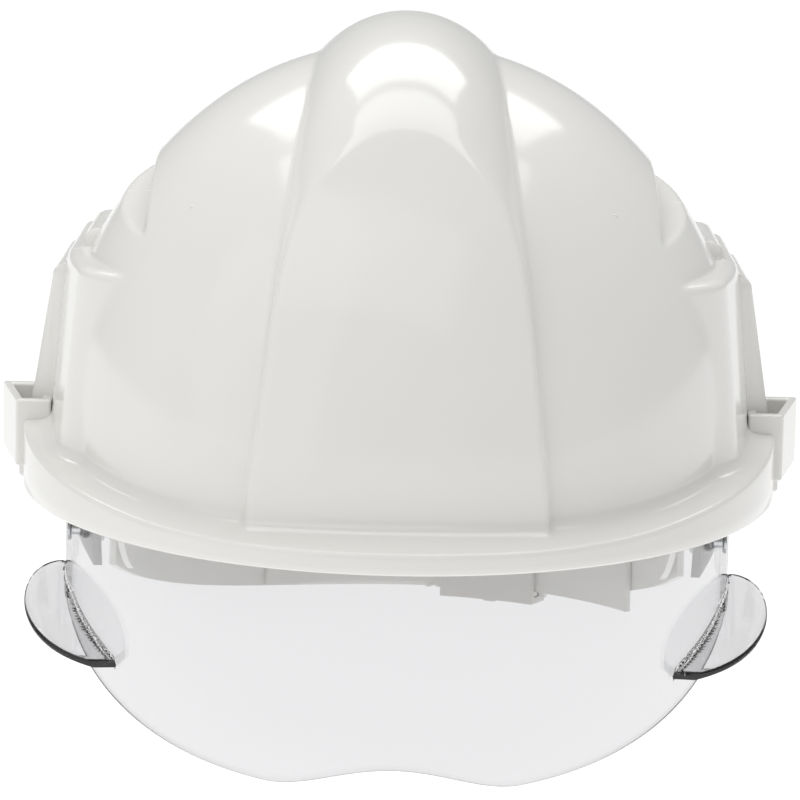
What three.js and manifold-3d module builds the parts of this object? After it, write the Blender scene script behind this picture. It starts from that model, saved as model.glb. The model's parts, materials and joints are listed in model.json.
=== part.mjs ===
// A hard hat: a moulded shell with a raised central crest, a clear visor that swings up inside the shell on
// two side pivots, and a six-point harness whose nape strap adjusts to the head.
// Millimetres. +Z is up and the front faces -Y. The origin is the centre of the shell's rim plane.

import * as THREE from 'three';
import { mergeVertices } from 'three/addons/utils/BufferGeometryUtils.js';
import Module from 'manifold-3d';

const wasm = await Module();
wasm.setup();

// ---- Driving dimensions ----

const GAP = 0.3; // between pieces that touch
const FAR = 300; // past every piece

// Shell
const WALL = 2.5;
const DOME_HALF_WIDTH = 97;
const DOME_FRONT = 125;
const DOME_REAR = 121;
const DOME_BASE = 15; // height where the dome's wall starts to curve in
const DOME_RISE = 113;
const DOME_POWER = 2.12; // 2 is an ellipse and more is squarer
const BRIM_SIDE = 12.6;
const BRIM_FRONT = 14;
const BRIM_REAR = 14;
const LIP_SIDE = 20; // height of the rim's outer lip
const LIP_FRONT = 5.6;
const LIP_REAR = 11;
const BRIM_SLOPE_SIDE = 0.06;
const BRIM_SLOPE_FRONT = 0.34;

// Crest
const CREST_RISE = 9.5; // above the dome at the crown
const CREST_HALF_WIDTH = 26;
const CREST_FOOT_RISE = 1.2;
const CREST_FOOT_HALF_WIDTH = 39;

// Side grooves of the dome
const GROOVE_WALL = 71.5; // from the middle to the groove's upright wall
const GROOVE_FLOOR = 85;
const GROOVE_CLIMB = 0.12;
const GROOVE_CHAMFER = 4;

// Side pods, which cover the visor's pivots
const POD_RISE = 5;
const POD_FRONT = 52;
const POD_REAR = 62;
const POD_TOP = 68;
const POD_LEAN = 0.085;
const POD_ROUNDING = 4;
const PANEL_RISE = 5; // the pod's outer panel, above the pod
const PANEL_FRONT = 20;
const PANEL_REAR = 50;
const PANEL_TOP = 57;
const POD_SHOULDER = 14; // height and width of the steps from the pod's side up to its top
const POD_STEPS = 3;
const PANEL_SHOULDER = 6;

// Accessory slots in the rim
const HOUSING_FRONT = 16;
const HOUSING_REAR = 18;
const HOUSING_BOTTOM = 4.5;
const HOUSING_TOP = 24;
const HOUSING_INNER = 101;
const HOUSING_FRONT_RISE = 1.5; // past the lip
const HOUSING_REAR_RISE = 8.5;
const SLOT_LENGTH = 26;
const SLOT_WIDTH = 6;

// Visor
const PIVOT_Z = 10;
const SIDE_CLEARANCE = 1.8; // between the visor's sides and the brackets
const LENS_RADIUS = 115.5; // from the pivot axis to the front of the lens
const LENS_POWER = 1.55;
const LENS_THICKNESS = 2.2;
const LENS_TOP = 8;
const LENS_BOTTOM = -75;
const LENS_CHIN_POWER = 2.2;
const LENS_LOBE_X = 36; // where the nose notch ends
const LENS_NOTCH = 9;
const LENS_REAR = 7; // how far the side walls run behind the pivot
const HUB_RADIUS = 12;
const WING_FRONT = 54;
const WING_BACK = 12;
const WING_REACH = 15;
const WING_THICKNESS = 2;
const WING_TILT = 26;
const WING_BACK_Z = -24;

// Visor pivots
const BRACKET_THICKNESS = 2.1;
const BRACKET_FRONT = 13;
const BRACKET_HEIGHT = 20;
const BOSS_RADIUS = 7;
const ARM_THICKNESS = 2.3;
const ARM_REACH = 42;
const PIVOT_RADIUS = 4;
const THREAD_RADIUS = 2.4;
const THREAD_LENGTH = 3.6;
const WASHER_THICKNESS = 0.8;
const HEAD_RADIUS = 8;
const HEAD_THICKNESS = 2.6;
const DRIVER_WIDTH = 1.6; // of the slot in the screw's head
const RIVET_RADIUS = 1.8;
const RIVET_HEAD_RADIUS = 3.4;
const RIVET_HEAD = 1;
const ARM_RIVET_LEAN = 2; // keeps the heads clear of the curved lens

// Headband
const HEAD_HALF_WIDTH = 82; // inside the headband
const HEAD_FRONT = 99;
const HEAD_REAR = 200; // rear half-length of the band's oval, which it only starts on
const BAND_THICKNESS = 1.8;
const BAND_HEIGHT = 28;
const BAND_FRONT_Z = 18;
const BAND_DROP = 42; // from the forehead to the nape
const BAND_DROP_START = -32;
const BAND_END = 42;
const SWEATBAND_THICKNESS = 3.5;
const SWEATBAND_HEIGHT = 30;
const SWEATBAND_BACK = -38;

// Nape strap
const NAPE_RADIUS = 92;
const NAPE_REAR = 100;
const NAPE_TOP = -19;
const NAPE_HEIGHT = 34;
const NAPE_THICKNESS = 2;
const NAPE_HALF_ANGLE = 72;
const NAPE_END_LIFT = 18;
const NAPE_BAND_END = 31.5;
const NAPE_GUIDE_START = 33.5;
const STRAP_START = -28;
const STRAP_END = 55;
const STRAP_BAND_HEIGHT = 19;
const STRAP_LOW = -51.5;
const TOOTH_PITCH = 3.6;
const TOOTH_DEPTH = 1.4;
const TEETH = 12;
const BUCKLE_ANGLE = 20;
const BUCKLE_HALF_ANGLE = 10.5;
const BUCKLE_WALL = 2;
const TAB_LENGTH = 22;
const TAB_HEIGHT = 16;
const TAB_THICKNESS = 2.4;
const TAB_PIN_RADIUS = 1.2;
const TAB_LIFT = 3.2;
const EAR_THICKNESS = 2.4;
const FOOT_HALF = 2;
const FOOT_WINDOW = 4.5;
const RIVET_LEAN = 1.4; // how far a rivet's heads stay clear of the curved bands

// Harness
const HARNESS_Y = 22; // where the crown straps cross
const CROWN_CLEARANCE = 36; // from the shell's crown to the topmost strap
const STRAP_WIDTH = 20;
const STRAP_THICKNESS = 1.2;
const STRAP_CROSSING_GAP = 1.2;
const STRAP_POWER = 2.2;
const STRAP_YAW = 63; // of the two diagonal straps
const SIDE_STRAP_Y = 26;
const STRAP_SEAT = 6; // length of strap held in a clip
const PATCH_RADIUS = 24;
const PATCH_THICKNESS = 1.6;
const SOCKET_WIDTH = 22;
const SOCKET_DEPTH = 6.5;
const SOCKET_BOTTOM = 7;
const SOCKET_HEIGHT = 12;
const LUG_WIDTH = 14;
const LUG_THICKNESS = 2.6;
const LUG_HEIGHT = 9.5;
const CLIP_THICKNESS = 3.8;
const CLIP_CHEEK = 2; // beside the strap's edge
const FOOT_THICKNESS = 3.5;
const STUD_RADIUS = 2.2;
const FRONT_CLIP_RADIUS = 97; // from the crossing of the straps
const FRONT_CLIP_TOP = 56;
const FRONT_SOCKET_Z = 76;
const HANGER_THICKNESS = 2.6;
const STALK_HALF_WIDTH = 6;
const REAR_CLIP_RADIUS = 80;
const REAR_CLIP_TOP = 32;
const SIDE_CLIP_TOP = 34;

// ---- Sizes that follow from them ----

const RIM_HALF_WIDTH = DOME_HALF_WIDTH + BRIM_SIDE;
const RIM_FRONT = DOME_FRONT + BRIM_FRONT;
const RIM_REAR = DOME_REAR + BRIM_REAR;
const DOME_TOP = DOME_BASE + DOME_RISE;
const POD_X = DOME_HALF_WIDTH + POD_RISE;
const BRACKET_X = HOUSING_INNER - GAP - BRACKET_THICKNESS;
const LENS_X = BRACKET_X - SIDE_CLEARANCE;
const ARM_X = LENS_X - LENS_THICKNESS - GAP;
const WASHER_X = ARM_X - ARM_THICKNESS - GAP;
const HEAD_X = WASHER_X - WASHER_THICKNESS - GAP;
const NAPE_Y = NAPE_REAR - NAPE_RADIUS;
const CROWN_STRAP_TOP = DOME_TOP - CROWN_CLEARANCE;
const STRAP_BAND_RADIUS = NAPE_RADIUS - NAPE_THICKNESS - GAP;
const STRAP_BAND_THICKNESS = NAPE_THICKNESS - 0.2;
const SIDE_CLIP_RADIUS = HEAD_HALF_WIDTH + BAND_THICKNESS + GAP + CLIP_THICKNESS / 2;

// ---- Finishes ----

const SHELL_WHITE = { color: 0xdedddb, roughness: 0.18, metalness: 0 };
const CLEAR = { color: 0xe8e9eb, roughness: 0.05, metalness: 0, transparent: true, opacity: 0.35 };
const BAND_WHITE = { color: 0xe0dfda, roughness: 0.42, metalness: 0 };
const BUCKLE_WHITE = { color: 0xd1cdca, roughness: 0.4, metalness: 0 };
const CLIP_WHITE = { color: 0xd9d8d3, roughness: 0.4, metalness: 0 };
const BRACKET_GREY = { color: 0x9a9c9e, roughness: 0.5, metalness: 0 };
const FOAM = { color: 0x3c3f44, roughness: 0.95, metalness: 0 };
const WEBBING = { color: 0xd8d7d0, roughness: 0.9, metalness: 0 };
const STEEL = { color: 0xb8babd, roughness: 0.3, metalness: 1 };

// ---- Solids ----

const rad = THREE.MathUtils.degToRad;
const smooth = THREE.MathUtils.smoothstep;

function toSolid(geometry) {
  const bare = geometry.index ? geometry.toNonIndexed() : geometry.clone();
  bare.deleteAttribute('normal');
  bare.deleteAttribute('uv');
  const merged = mergeVertices(bare, 1e-4);
  return new wasm.Manifold(new wasm.Mesh({
    numProp: 3,
    vertProperties: Float32Array.from(merged.attributes.position.array),
    triVerts: Uint32Array.from(merged.index.array),
  }));
}

function toGeometry(solid) {
  const mesh = solid.getMesh();
  const geometry = new THREE.BufferGeometry();
  geometry.setAttribute('position', new THREE.BufferAttribute(mesh.vertProperties, 3));
  geometry.setIndex(new THREE.BufferAttribute(mesh.triVerts, 1));
  return geometry;
}

const join = (first, ...rest) => rest.reduce((sum, solid) => sum.add(solid), first);
const cut = (first, ...rest) => rest.reduce((left, solid) => left.subtract(solid), first);
const overlap = (first, ...rest) => rest.reduce((left, solid) => left.intersect(solid), first);

// Moves every corner of a geometry by a rule.
function bend(geometry, rule) {
  const place = geometry.attributes.position;
  for (let i = 0; i < place.count; i += 1) {
    const moved = rule(place.getX(i), place.getY(i), place.getZ(i));
    place.setXYZ(i, ...moved);
  }
  return geometry;
}

// Where an outline's two directions and its depth point, for a prism along each axis.
const PRISM_AXES = {
  x: [new THREE.Vector3(0, 1, 0), new THREE.Vector3(0, 0, 1), new THREE.Vector3(1, 0, 0)],
  y: [new THREE.Vector3(1, 0, 0), new THREE.Vector3(0, 0, 1), new THREE.Vector3(0, -1, 0)],
  z: [new THREE.Vector3(1, 0, 0), new THREE.Vector3(0, 1, 0), new THREE.Vector3(0, 0, 1)],
};

// An outline drawn in (Y, Z), (X, Z) or (X, Y), made solid from low to high along the axis x, y or z.
function prism(axis, shape, low, high, bevel = 0) {
  const geometry = new THREE.ExtrudeGeometry(shape, {
    depth: high - low - 2 * bevel,
    bevelEnabled: bevel > 0,
    bevelThickness: bevel,
    bevelSize: bevel,
    bevelOffset: -bevel,
    bevelSegments: 2,
    curveSegments: 10,
  });
  geometry.translate(0, 0, (axis === 'y' ? -high : low) + bevel);
  geometry.applyMatrix4(new THREE.Matrix4().makeBasis(...PRISM_AXES[axis]));
  return toSolid(geometry);
}

const polygon = (points) => new THREE.Shape(points.map(([a, b]) => new THREE.Vector2(a, b)));

function box(low, high) {
  const geometry = new THREE.BoxGeometry(...high.map((value, i) => value - low[i]));
  geometry.translate(...high.map((value, i) => (value + low[i]) / 2));
  return toSolid(geometry);
}

// A round bar along X or Z.
function bar(axis, radius, low, high, [a, b], sides = 24) {
  const geometry = new THREE.CylinderGeometry(radius, radius, high - low, sides);
  const middle = (low + high) / 2;
  if (axis === 'x') geometry.rotateZ(Math.PI / 2).translate(middle, a, b);
  else geometry.rotateX(Math.PI / 2).translate(a, b, middle);
  return toSolid(geometry);
}

// A closed profile of [radius, height] from the axis back to the axis, turned about Z.
function turned(profile, segments) {
  const points = profile.map(([radius, height]) => new THREE.Vector2(radius, height));
  return new THREE.LatheGeometry(points, segments).rotateX(Math.PI / 2);
}

// How far a superellipse reaches in the direction of (x, y).
function reach(x, y, { side, front, rear, power }) {
  const length = Math.hypot(x, y);
  if (length < 1e-9) return 0;
  const across = Math.abs(x) / length / side;
  const along = Math.abs(y) / length / (y < 0 ? front : rear);
  return (across ** power + along ** power) ** (-1 / power);
}

// Stretches a unit circle in plan to a superellipse, whose sizes may change with height and side.
function stretched(geometry, planAt) {
  return bend(geometry, (x, y, z) => {
    const scale = reach(x, y, planAt(z, y));
    return [x * scale, y * scale, z];
  });
}

const mirrored = (solid) => solid.mirror([1, 0, 0]);

// ---- Shell ----

const domePlan = (inset) => ({
  side: DOME_HALF_WIDTH - inset,
  front: DOME_FRONT - inset,
  rear: DOME_REAR - inset,
  power: DOME_POWER,
});

const domeSine = (angle) => Math.max(0, Math.sin(angle)) ** (2 / DOME_POWER);
const domeCosine = (angle) => Math.max(0, Math.cos(angle)) ** (2 / DOME_POWER);

function domeBody(inset) {
  const steps = inset > 0 ? 11 : 14;
  const profile = [[0, inset > 0 ? -WALL : 1], [1, inset > 0 ? -WALL : 1]];
  for (let i = 0; i < steps; i += 1) {
    const angle = (Math.PI / 2) * (i / steps);
    profile.push([domeCosine(angle), DOME_BASE + (DOME_RISE - inset) * domeSine(angle)]);
  }
  profile.push([0, DOME_TOP - inset]);
  return toSolid(stretched(turned(profile, inset > 0 ? 48 : 64), () => domePlan(inset)));
}

// The height of the rim's lip, which falls towards the front and the rear.
function lipHeight(y) {
  const length = y < 0 ? RIM_FRONT : RIM_REAR;
  const end = y < 0 ? LIP_FRONT : LIP_REAR;
  return LIP_SIDE + (end - LIP_SIDE) * Math.min(1, Math.abs(y) / length / 0.88);
}

function brimSlope(y) {
  const share = Math.min(1, Math.abs(y) / RIM_FRONT);
  return BRIM_SLOPE_SIDE + (BRIM_SLOPE_FRONT - BRIM_SLOPE_SIDE) * share ** 2;
}

// The brim as a full plate: its rings are the rim's foot, the lip's top edge and a ring inside the dome.
function brimBody(inset) {
  const plan = {
    side: RIM_HALF_WIDTH - inset,
    front: RIM_FRONT - inset,
    rear: RIM_REAR - inset,
    power: 2,
  };
  const inner = 0.8;
  const rings = [[0, 0], [1, 0], [1, 1], [inner, 2], [0, 3]];
  const heights = [
    () => (inset > 0 ? -WALL : 0),
    (y) => lipHeight(y) - inset,
    (y, rise) => lipHeight(y) - inset + rise * brimSlope(y),
    () => DOME_BASE - inset,
  ];
  return toSolid(bend(turned(rings, 64), (x, y, ring) => {
    const scale = reach(x, y, plan);
    const outerY = (y * scale) / Math.max(Math.hypot(x, y), 1e-9);
    const height = heights[Math.round(ring)](outerY, (1 - inner) * scale);
    return [x * scale, y * scale, height];
  }));
}

// The crest is a grid across the crown: one way follows the dome's long section and the other crosses it.
function crestBody(inset) {
  const geometry = new THREE.BoxGeometry(2, 1, 1, 10, 24, 1);
  const depth = 8;
  return toSolid(bend(geometry, (across, along, layer) => {
    const angle = (along + 0.5) * Math.PI;
    const front = angle < Math.PI / 2;
    const up = front ? angle : Math.PI - angle;
    const low = Math.max(0, 1 - up / (Math.PI / 2));
    const spread = low ** 1.5 * (front ? 1 : 0.4);
    const half = CREST_HALF_WIDTH + (CREST_FOOT_HALF_WIDTH - CREST_HALF_WIDTH) * spread;
    const x = across * (half - inset);
    const rise = CREST_RISE + (CREST_FOOT_RISE - CREST_RISE) * low ** 1.3;
    const height = rise * (1 - across ** 2) - inset;
    const lift = layer > 0 ? Math.max(height, -inset) : -inset - depth;
    const narrowing = (1 - (Math.abs(x) / DOME_HALF_WIDTH) ** DOME_POWER) ** (1 / DOME_POWER);
    const length = front ? DOME_FRONT : DOME_REAR;
    const y = (length * narrowing + lift) * domeCosine(up);
    const z = DOME_BASE + (DOME_RISE * narrowing + lift) * domeSine(up);
    return [x, front ? -y : y, z];
  }));
}

// The space outside a groove's upright wall and above its floor.
function grooveCut(inset) {
  const wall = GROOVE_WALL - inset;
  const floor = GROOVE_FLOOR - inset;
  const outline = polygon([
    [wall, floor + GROOVE_CHAMFER],
    [wall + GROOVE_CHAMFER, floor],
    [RIM_HALF_WIDTH, floor],
    [RIM_HALF_WIDTH, DOME_TOP],
    [wall, DOME_TOP],
  ]);
  const solid = prism('y', outline, -RIM_FRONT, RIM_REAR);
  return toSolid(bend(toGeometry(solid), (x, y, z) => [x, y, z + GROOVE_CLIMB * y]));
}

// The cross-section of a pod or its outer panel: it leans in with height, and its shoulder steps in.
function podOutline(base, top, shoulder, inset) {
  const outer = (z) => base - inset - POD_LEAN * (z - LIP_SIDE);
  const foot = inset > 0 ? -WALL : 1;
  const corner = top - shoulder;
  const tread = shoulder / POD_STEPS;
  const steps = [];
  for (let i = 0; i < POD_STEPS; i += 1) {
    steps.push([outer(corner) - i * tread, corner + (i + 0.6) * tread - inset]);
  }
  return polygon([
    [DOME_HALF_WIDTH * 0.6, foot],
    [outer(LIP_SIDE), foot],
    [outer(LIP_SIDE), LIP_SIDE],
    [outer(corner), corner - inset],
    ...steps,
    [outer(corner) - shoulder, top - inset],
    [DOME_HALF_WIDTH * 0.6, top - inset],
  ]);
}

function podBody(inset) {
  const podSection = podOutline(POD_X, POD_TOP, POD_SHOULDER, inset);
  const pod = prism('y', podSection, inset - POD_FRONT, POD_REAR - inset, POD_ROUNDING / 2);
  const panelSection = podOutline(POD_X + PANEL_RISE, PANEL_TOP, PANEL_SHOULDER, inset);
  const panel = prism('y', panelSection, inset - PANEL_FRONT, PANEL_REAR - inset, 1);
  return join(pod, panel);
}

// The outer face of an accessory housing, which stands further out towards the rear.
function housingFace(y) {
  const share = (y + HOUSING_FRONT) / (HOUSING_FRONT + HOUSING_REAR);
  return RIM_HALF_WIDTH + HOUSING_FRONT_RISE + (HOUSING_REAR_RISE - HOUSING_FRONT_RISE) * share;
}

function housingBody() {
  const plan = polygon([
    [HOUSING_INNER, -HOUSING_FRONT],
    [housingFace(-HOUSING_FRONT), -HOUSING_FRONT],
    [housingFace(HOUSING_REAR), HOUSING_REAR],
    [HOUSING_INNER, HOUSING_REAR],
  ]);
  return prism('z', plan, HOUSING_BOTTOM, HOUSING_TOP);
}

function accessorySlot() {
  const middle = (HOUSING_REAR - HOUSING_FRONT) / 2;
  const front = middle - SLOT_LENGTH / 2;
  const rear = middle + SLOT_LENGTH / 2;
  const plan = polygon([
    [housingFace(front) - WALL - SLOT_WIDTH, front],
    [housingFace(front) - WALL, front],
    [housingFace(rear) - WALL, rear],
    [housingFace(rear) - WALL - SLOT_WIDTH, rear],
  ]);
  return prism('z', plan, -1, HOUSING_TOP + 1);
}

// Turns a solid drawn facing +X at the crossing of the straps to face a direction in plan.
function aimed(solid, yaw, y = HARNESS_Y) {
  return solid.rotate([0, 0, yaw]).translate([0, y, 0]);
}

// How far a plan reaches from a point on the middle line, in a direction, along a line some way aside of it.
// Rise is the height there as a share of the plan's whole rise.
function planDistance(plan, yaw, fromY, rise = 0, aside = 0) {
  const [dx, dy] = [Math.cos(rad(yaw)), Math.sin(rad(yaw))];
  const inside = (d) => {
    const [x, y] = [d * dx - aside * dy, fromY + d * dy + aside * dx];
    return (Math.hypot(x, y) / reach(x, y, plan)) ** plan.power + rise ** plan.power < 1;
  };
  let [near, far] = [0, DOME_FRONT + DOME_REAR];
  for (let i = 0; i < 40; i += 1) {
    const middle = (near + far) / 2;
    if (inside(middle)) near = middle;
    else far = middle;
  }
  return near;
}

function wallDistance(yaw, z, fromY) {
  const rise = Math.max(0, z - DOME_BASE) / (DOME_RISE - WALL);
  return planDistance(domePlan(WALL), yaw, fromY, rise);
}

// Where each clip sits: its direction, the line it starts from, its strap's radius and its heights.
const clipPlace = (kind, y, radius, top, low) => ({ kind, y, radius, top, low });
const FRONT = clipPlace('front', HARNESS_Y, FRONT_CLIP_RADIUS, FRONT_CLIP_TOP, FRONT_SOCKET_Z);
const REAR = clipPlace('rear', HARNESS_Y, REAR_CLIP_RADIUS, REAR_CLIP_TOP, SOCKET_BOTTOM);
const SIDE = clipPlace('side', SIDE_STRAP_Y, SIDE_CLIP_RADIUS, SIDE_CLIP_TOP, SOCKET_BOTTOM);
const CLIPS = [
  { ...FRONT, name: 'front_left', yaw: 180 + STRAP_YAW },
  { ...FRONT, name: 'front_right', yaw: -STRAP_YAW },
  { ...REAR, name: 'rear_left', yaw: 180 - STRAP_YAW },
  { ...REAR, name: 'rear_right', yaw: STRAP_YAW },
  { ...SIDE, name: 'side_left', yaw: 180 },
  { ...SIDE, name: 'side_right', yaw: 0 },
];

// How far out the shell's wall is at a clip's socket.
function socketWall(clip) {
  if (clip.kind === 'side') return POD_X - WALL;
  return wallDistance(clip.yaw, clip.low + SOCKET_HEIGHT, clip.y);
}

function socketBody(clip) {
  const wall = socketWall(clip);
  const half = SOCKET_WIDTH / 2;
  const outer = wall + SOCKET_DEPTH + WALL;
  const block = box([wall - SOCKET_DEPTH, -half, clip.low], [outer, half, clip.low + SOCKET_HEIGHT]);
  return aimed(block, clip.yaw, clip.y);
}

function socketSlot(clip) {
  const middle = socketWall(clip) - SOCKET_DEPTH / 2;
  const thick = LUG_THICKNESS / 2 + GAP;
  const wide = LUG_WIDTH / 2 + GAP;
  const top = clip.low + LUG_HEIGHT + GAP;
  const slot = box([middle - thick, -wide, clip.low - 1], [middle + thick, wide, top]);
  return aimed(slot, clip.yaw, clip.y);
}

function shell() {
  const grooves = (inset) => [grooveCut(inset), mirrored(grooveCut(inset))];
  const pods = (inset) => [podBody(inset), mirrored(podBody(inset))];
  const domed = (inset) => cut(join(domeBody(inset), crestBody(inset)), ...grooves(inset));
  const outside = join(domed(0), brimBody(0), ...pods(0));
  const inside = join(domed(WALL), brimBody(WALL), ...pods(WALL));
  const sockets = CLIPS.map((clip) => overlap(socketBody(clip), outside));
  const housings = [housingBody(), mirrored(housingBody())];
  const walls = join(cut(outside, inside), ...sockets, ...housings);
  const threadEnd = HOUSING_INNER + THREAD_LENGTH + GAP;
  const threads = bar('x', THREAD_RADIUS + GAP, BRACKET_X - 1, threadEnd, [0, PIVOT_Z]);
  return cut(
    walls,
    accessorySlot(),
    mirrored(accessorySlot()),
    ...CLIPS.map(socketSlot),
    threads,
    mirrored(threads),
  );
}

// ---- Visor ----

// The visor's surface, set in by some depth: a wrapped front that leads to straight sides at the pivots.
function visorBody(inset) {
  const levels = 6;
  const low = LENS_BOTTOM - WALL;
  const high = PIVOT_Z + HUB_RADIUS + WALL;
  const profile = [[0, low]];
  for (let i = 0; i <= levels; i += 1) profile.push([1, low + ((high - low) * i) / levels]);
  profile.push([0, high]);
  const plan = (z, y) => ({
    side: LENS_X - inset,
    front: Math.sqrt((LENS_RADIUS - inset) ** 2 - (z - PIVOT_Z) ** 2) - HUB_RADIUS,
    rear: 4 * HUB_RADIUS,
    power: y < 0 ? LENS_POWER + (2 - LENS_POWER) * y ** 2 : 8,
  });
  return toSolid(stretched(turned(profile, 52), plan)).translate([0, -HUB_RADIUS, 0]);
}

const visorLayer = (outer, inner) => cut(visorBody(outer), visorBody(inner));

// The lens's lower edge: a round chin with a notch for the nose, which leaves two lobes.
function lensEdge(x) {
  const across = Math.min(1, Math.abs(x) / LENS_X);
  const side = WING_BACK_Z - WING_THICKNESS;
  const round = side + (LENS_BOTTOM - side) * (1 - across ** LENS_CHIN_POWER) ** (1 / LENS_CHIN_POWER);
  return round + LENS_NOTCH * Math.max(0, 1 - (x / LENS_LOBE_X) ** 2) ** 2;
}

// The front outline of the lens.
function lensFront() {
  const steps = 28;
  const points = [[-FAR, LENS_TOP], [-FAR, WING_BACK_Z]];
  for (let i = 0; i <= steps; i += 1) {
    const x = -LENS_X * Math.cos((Math.PI * i) / steps);
    points.push([x, lensEdge(x)]);
  }
  points.push([FAR, WING_BACK_Z], [FAR, LENS_TOP]);
  return prism('y', polygon(points), -FAR, LENS_REAR);
}

// A plate that slopes down to the front beside the lens, to lift it by.
function wing() {
  const shape = new THREE.Shape();
  const root = 0.8 * LENS_X;
  shape.moveTo(root, -WING_BACK);
  shape.lineTo(LENS_X, -WING_BACK);
  shape.bezierCurveTo(
    LENS_X + WING_REACH, -WING_BACK + 2,
    LENS_X + WING_REACH + 3, -WING_FRONT + 10,
    LENS_X - 2, -WING_FRONT,
  );
  shape.lineTo(root, -WING_FRONT);
  const slope = Math.tan(rad(WING_TILT));
  const plate = prism('z', shape, -WING_THICKNESS, 0);
  const tilted = bend(toGeometry(plate), (x, y, z) => [x, y, z + WING_BACK_Z + slope * (y + WING_BACK)]);
  return cut(toSolid(tilted), visorBody(LENS_THICKNESS / 2));
}

const hub = (radius) => bar('x', radius, -FAR, FAR, [0, PIVOT_Z], 24);

function lens() {
  const wrapped = overlap(visorLayer(0, LENS_THICKNESS), join(lensFront(), hub(HUB_RADIUS)));
  return cut(join(wrapped, wing(), mirrored(wing())), hub(PIVOT_RADIUS + GAP), ...rivetHoles());
}

// The rivets that join an arm to the lens stand behind one another along the arm.
const RIVET_PLACES = [
  [-ARM_REACH * 0.5, PIVOT_Z - 14],
  [-ARM_REACH * 0.8, PIVOT_Z - 20],
];

const rivetHoles = () => RIVET_PLACES.map((place) => bar('x', RIVET_RADIUS + GAP, -FAR, FAR, place, 16));

function arm() {
  const tip = ARM_REACH;
  const shape = new THREE.Shape();
  shape.moveTo(HUB_RADIUS, PIVOT_Z);
  shape.absarc(0, PIVOT_Z, HUB_RADIUS - 1, 0, Math.PI * 0.62, false);
  shape.lineTo(-tip, PIVOT_Z - HUB_RADIUS);
  shape.lineTo(-tip, PIVOT_Z - 2.4 * HUB_RADIUS);
  shape.absarc(0, PIVOT_Z, HUB_RADIUS - 1, Math.PI * 1.38, Math.PI * 2, false);
  const inner = LENS_THICKNESS + GAP;
  const layer = visorLayer(inner, inner + ARM_THICKNESS);
  const plate = overlap(layer, prism('x', shape, 0, FAR));
  return cut(plate, hub(PIVOT_RADIUS + GAP), ...rivetHoles());
}

// How far out the visor's surface is beside the point (y, z).
function visorSide(y, z) {
  const front = Math.sqrt(LENS_RADIUS ** 2 - (z - PIVOT_Z) ** 2) - HUB_RADIUS;
  const share = Math.max(0, -y - HUB_RADIUS) / front;
  return LENS_X * (1 - share ** LENS_POWER) ** (1 / LENS_POWER);
}

// A rivet through an arm and the lens: a shank with a head on either side.
function armRivet([y, z]) {
  const outer = visorSide(y, z);
  const low = outer - LENS_THICKNESS - GAP - ARM_THICKNESS - GAP - ARM_RIVET_LEAN;
  const high = outer + GAP + ARM_RIVET_LEAN;
  return join(
    bar('x', RIVET_RADIUS, low - RIVET_HEAD, high + RIVET_HEAD, [y, z], 16),
    bar('x', RIVET_HEAD_RADIUS, low - RIVET_HEAD, low, [y, z], 16),
    bar('x', RIVET_HEAD_RADIUS, high, high + RIVET_HEAD, [y, z], 16),
  );
}

// ---- Visor pivots, on the right side ----

function bracket() {
  const half = BRACKET_HEIGHT / 2;
  const plate = box(
    [BRACKET_X, -BRACKET_FRONT, PIVOT_Z - half / 2],
    [BRACKET_X + BRACKET_THICKNESS, BRACKET_FRONT, PIVOT_Z + half],
  );
  const boss = bar('x', BOSS_RADIUS, LENS_X + GAP, BRACKET_X + 1, [0, PIVOT_Z]);
  return cut(join(plate, boss), bar('x', PIVOT_RADIUS + GAP, 0, FAR, [0, PIVOT_Z]));
}

function pivotScrew() {
  const thread = bar('x', THREAD_RADIUS, HEAD_X, HOUSING_INNER + THREAD_LENGTH, [0, PIVOT_Z]);
  const shoulder = bar('x', PIVOT_RADIUS, HEAD_X - 1, BRACKET_X + BRACKET_THICKNESS, [0, PIVOT_Z]);
  const head = bar('x', HEAD_RADIUS, HEAD_X - HEAD_THICKNESS, HEAD_X, [0, PIVOT_Z]);
  const [long, half] = [HEAD_RADIUS * 0.7, DRIVER_WIDTH / 2];
  const driver = box([0, -long, PIVOT_Z - half], [HEAD_X - HEAD_THICKNESS / 2, long, PIVOT_Z + half]);
  return cut(join(thread, shoulder, head), driver);
}

function frictionWasher() {
  const outer = bar('x', HEAD_RADIUS, WASHER_X - WASHER_THICKNESS, WASHER_X, [0, PIVOT_Z]);
  return cut(outer, bar('x', PIVOT_RADIUS + GAP, 0, FAR, [0, PIVOT_Z]));
}

// ---- Headband ----

const bandPlan = (outset) => ({
  side: HEAD_HALF_WIDTH + outset,
  front: HEAD_FRONT + outset,
  rear: HEAD_REAR + outset,
  power: 2.1,
});

// The middle height of the headband, which drops from the forehead to the nape.
const bandHeight = (y) => BAND_FRONT_Z - BAND_DROP * smooth(y, BAND_DROP_START, BAND_END + 6);

// A ring round the head between two distances from the band's inner face, up to where it ends at the rear.
function headRing(inner, outer, low, high, end) {
  const ring = (outset, over) => {
    const profile = [[0, low - over], [1, low - over], [1, high + over], [0, high + over]];
    return toSolid(stretched(turned(profile, 72), () => bandPlan(outset)));
  };
  const whole = cut(ring(outer, 0), ring(inner, 1));
  return overlap(whole, box([-FAR, -FAR, -FAR], [FAR, end, FAR]));
}

// How far the headband's outer face is from a clip's starting point, at most over the clip's stalk.
function bandDistance(clip) {
  const plan = bandPlan(BAND_THICKNESS);
  const asides = [-STALK_HALF_WIDTH, 0, STALK_HALF_WIDTH];
  return Math.max(...asides.map((aside) => planDistance(plan, clip.yaw, clip.y, 0, aside)));
}

// The height of the stud that joins a clip to the headband.
const studHeight = (clip) => (clip.kind === 'front' ? BAND_FRONT_Z + BAND_HEIGHT / 4 : bandHeight(clip.y));

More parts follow.
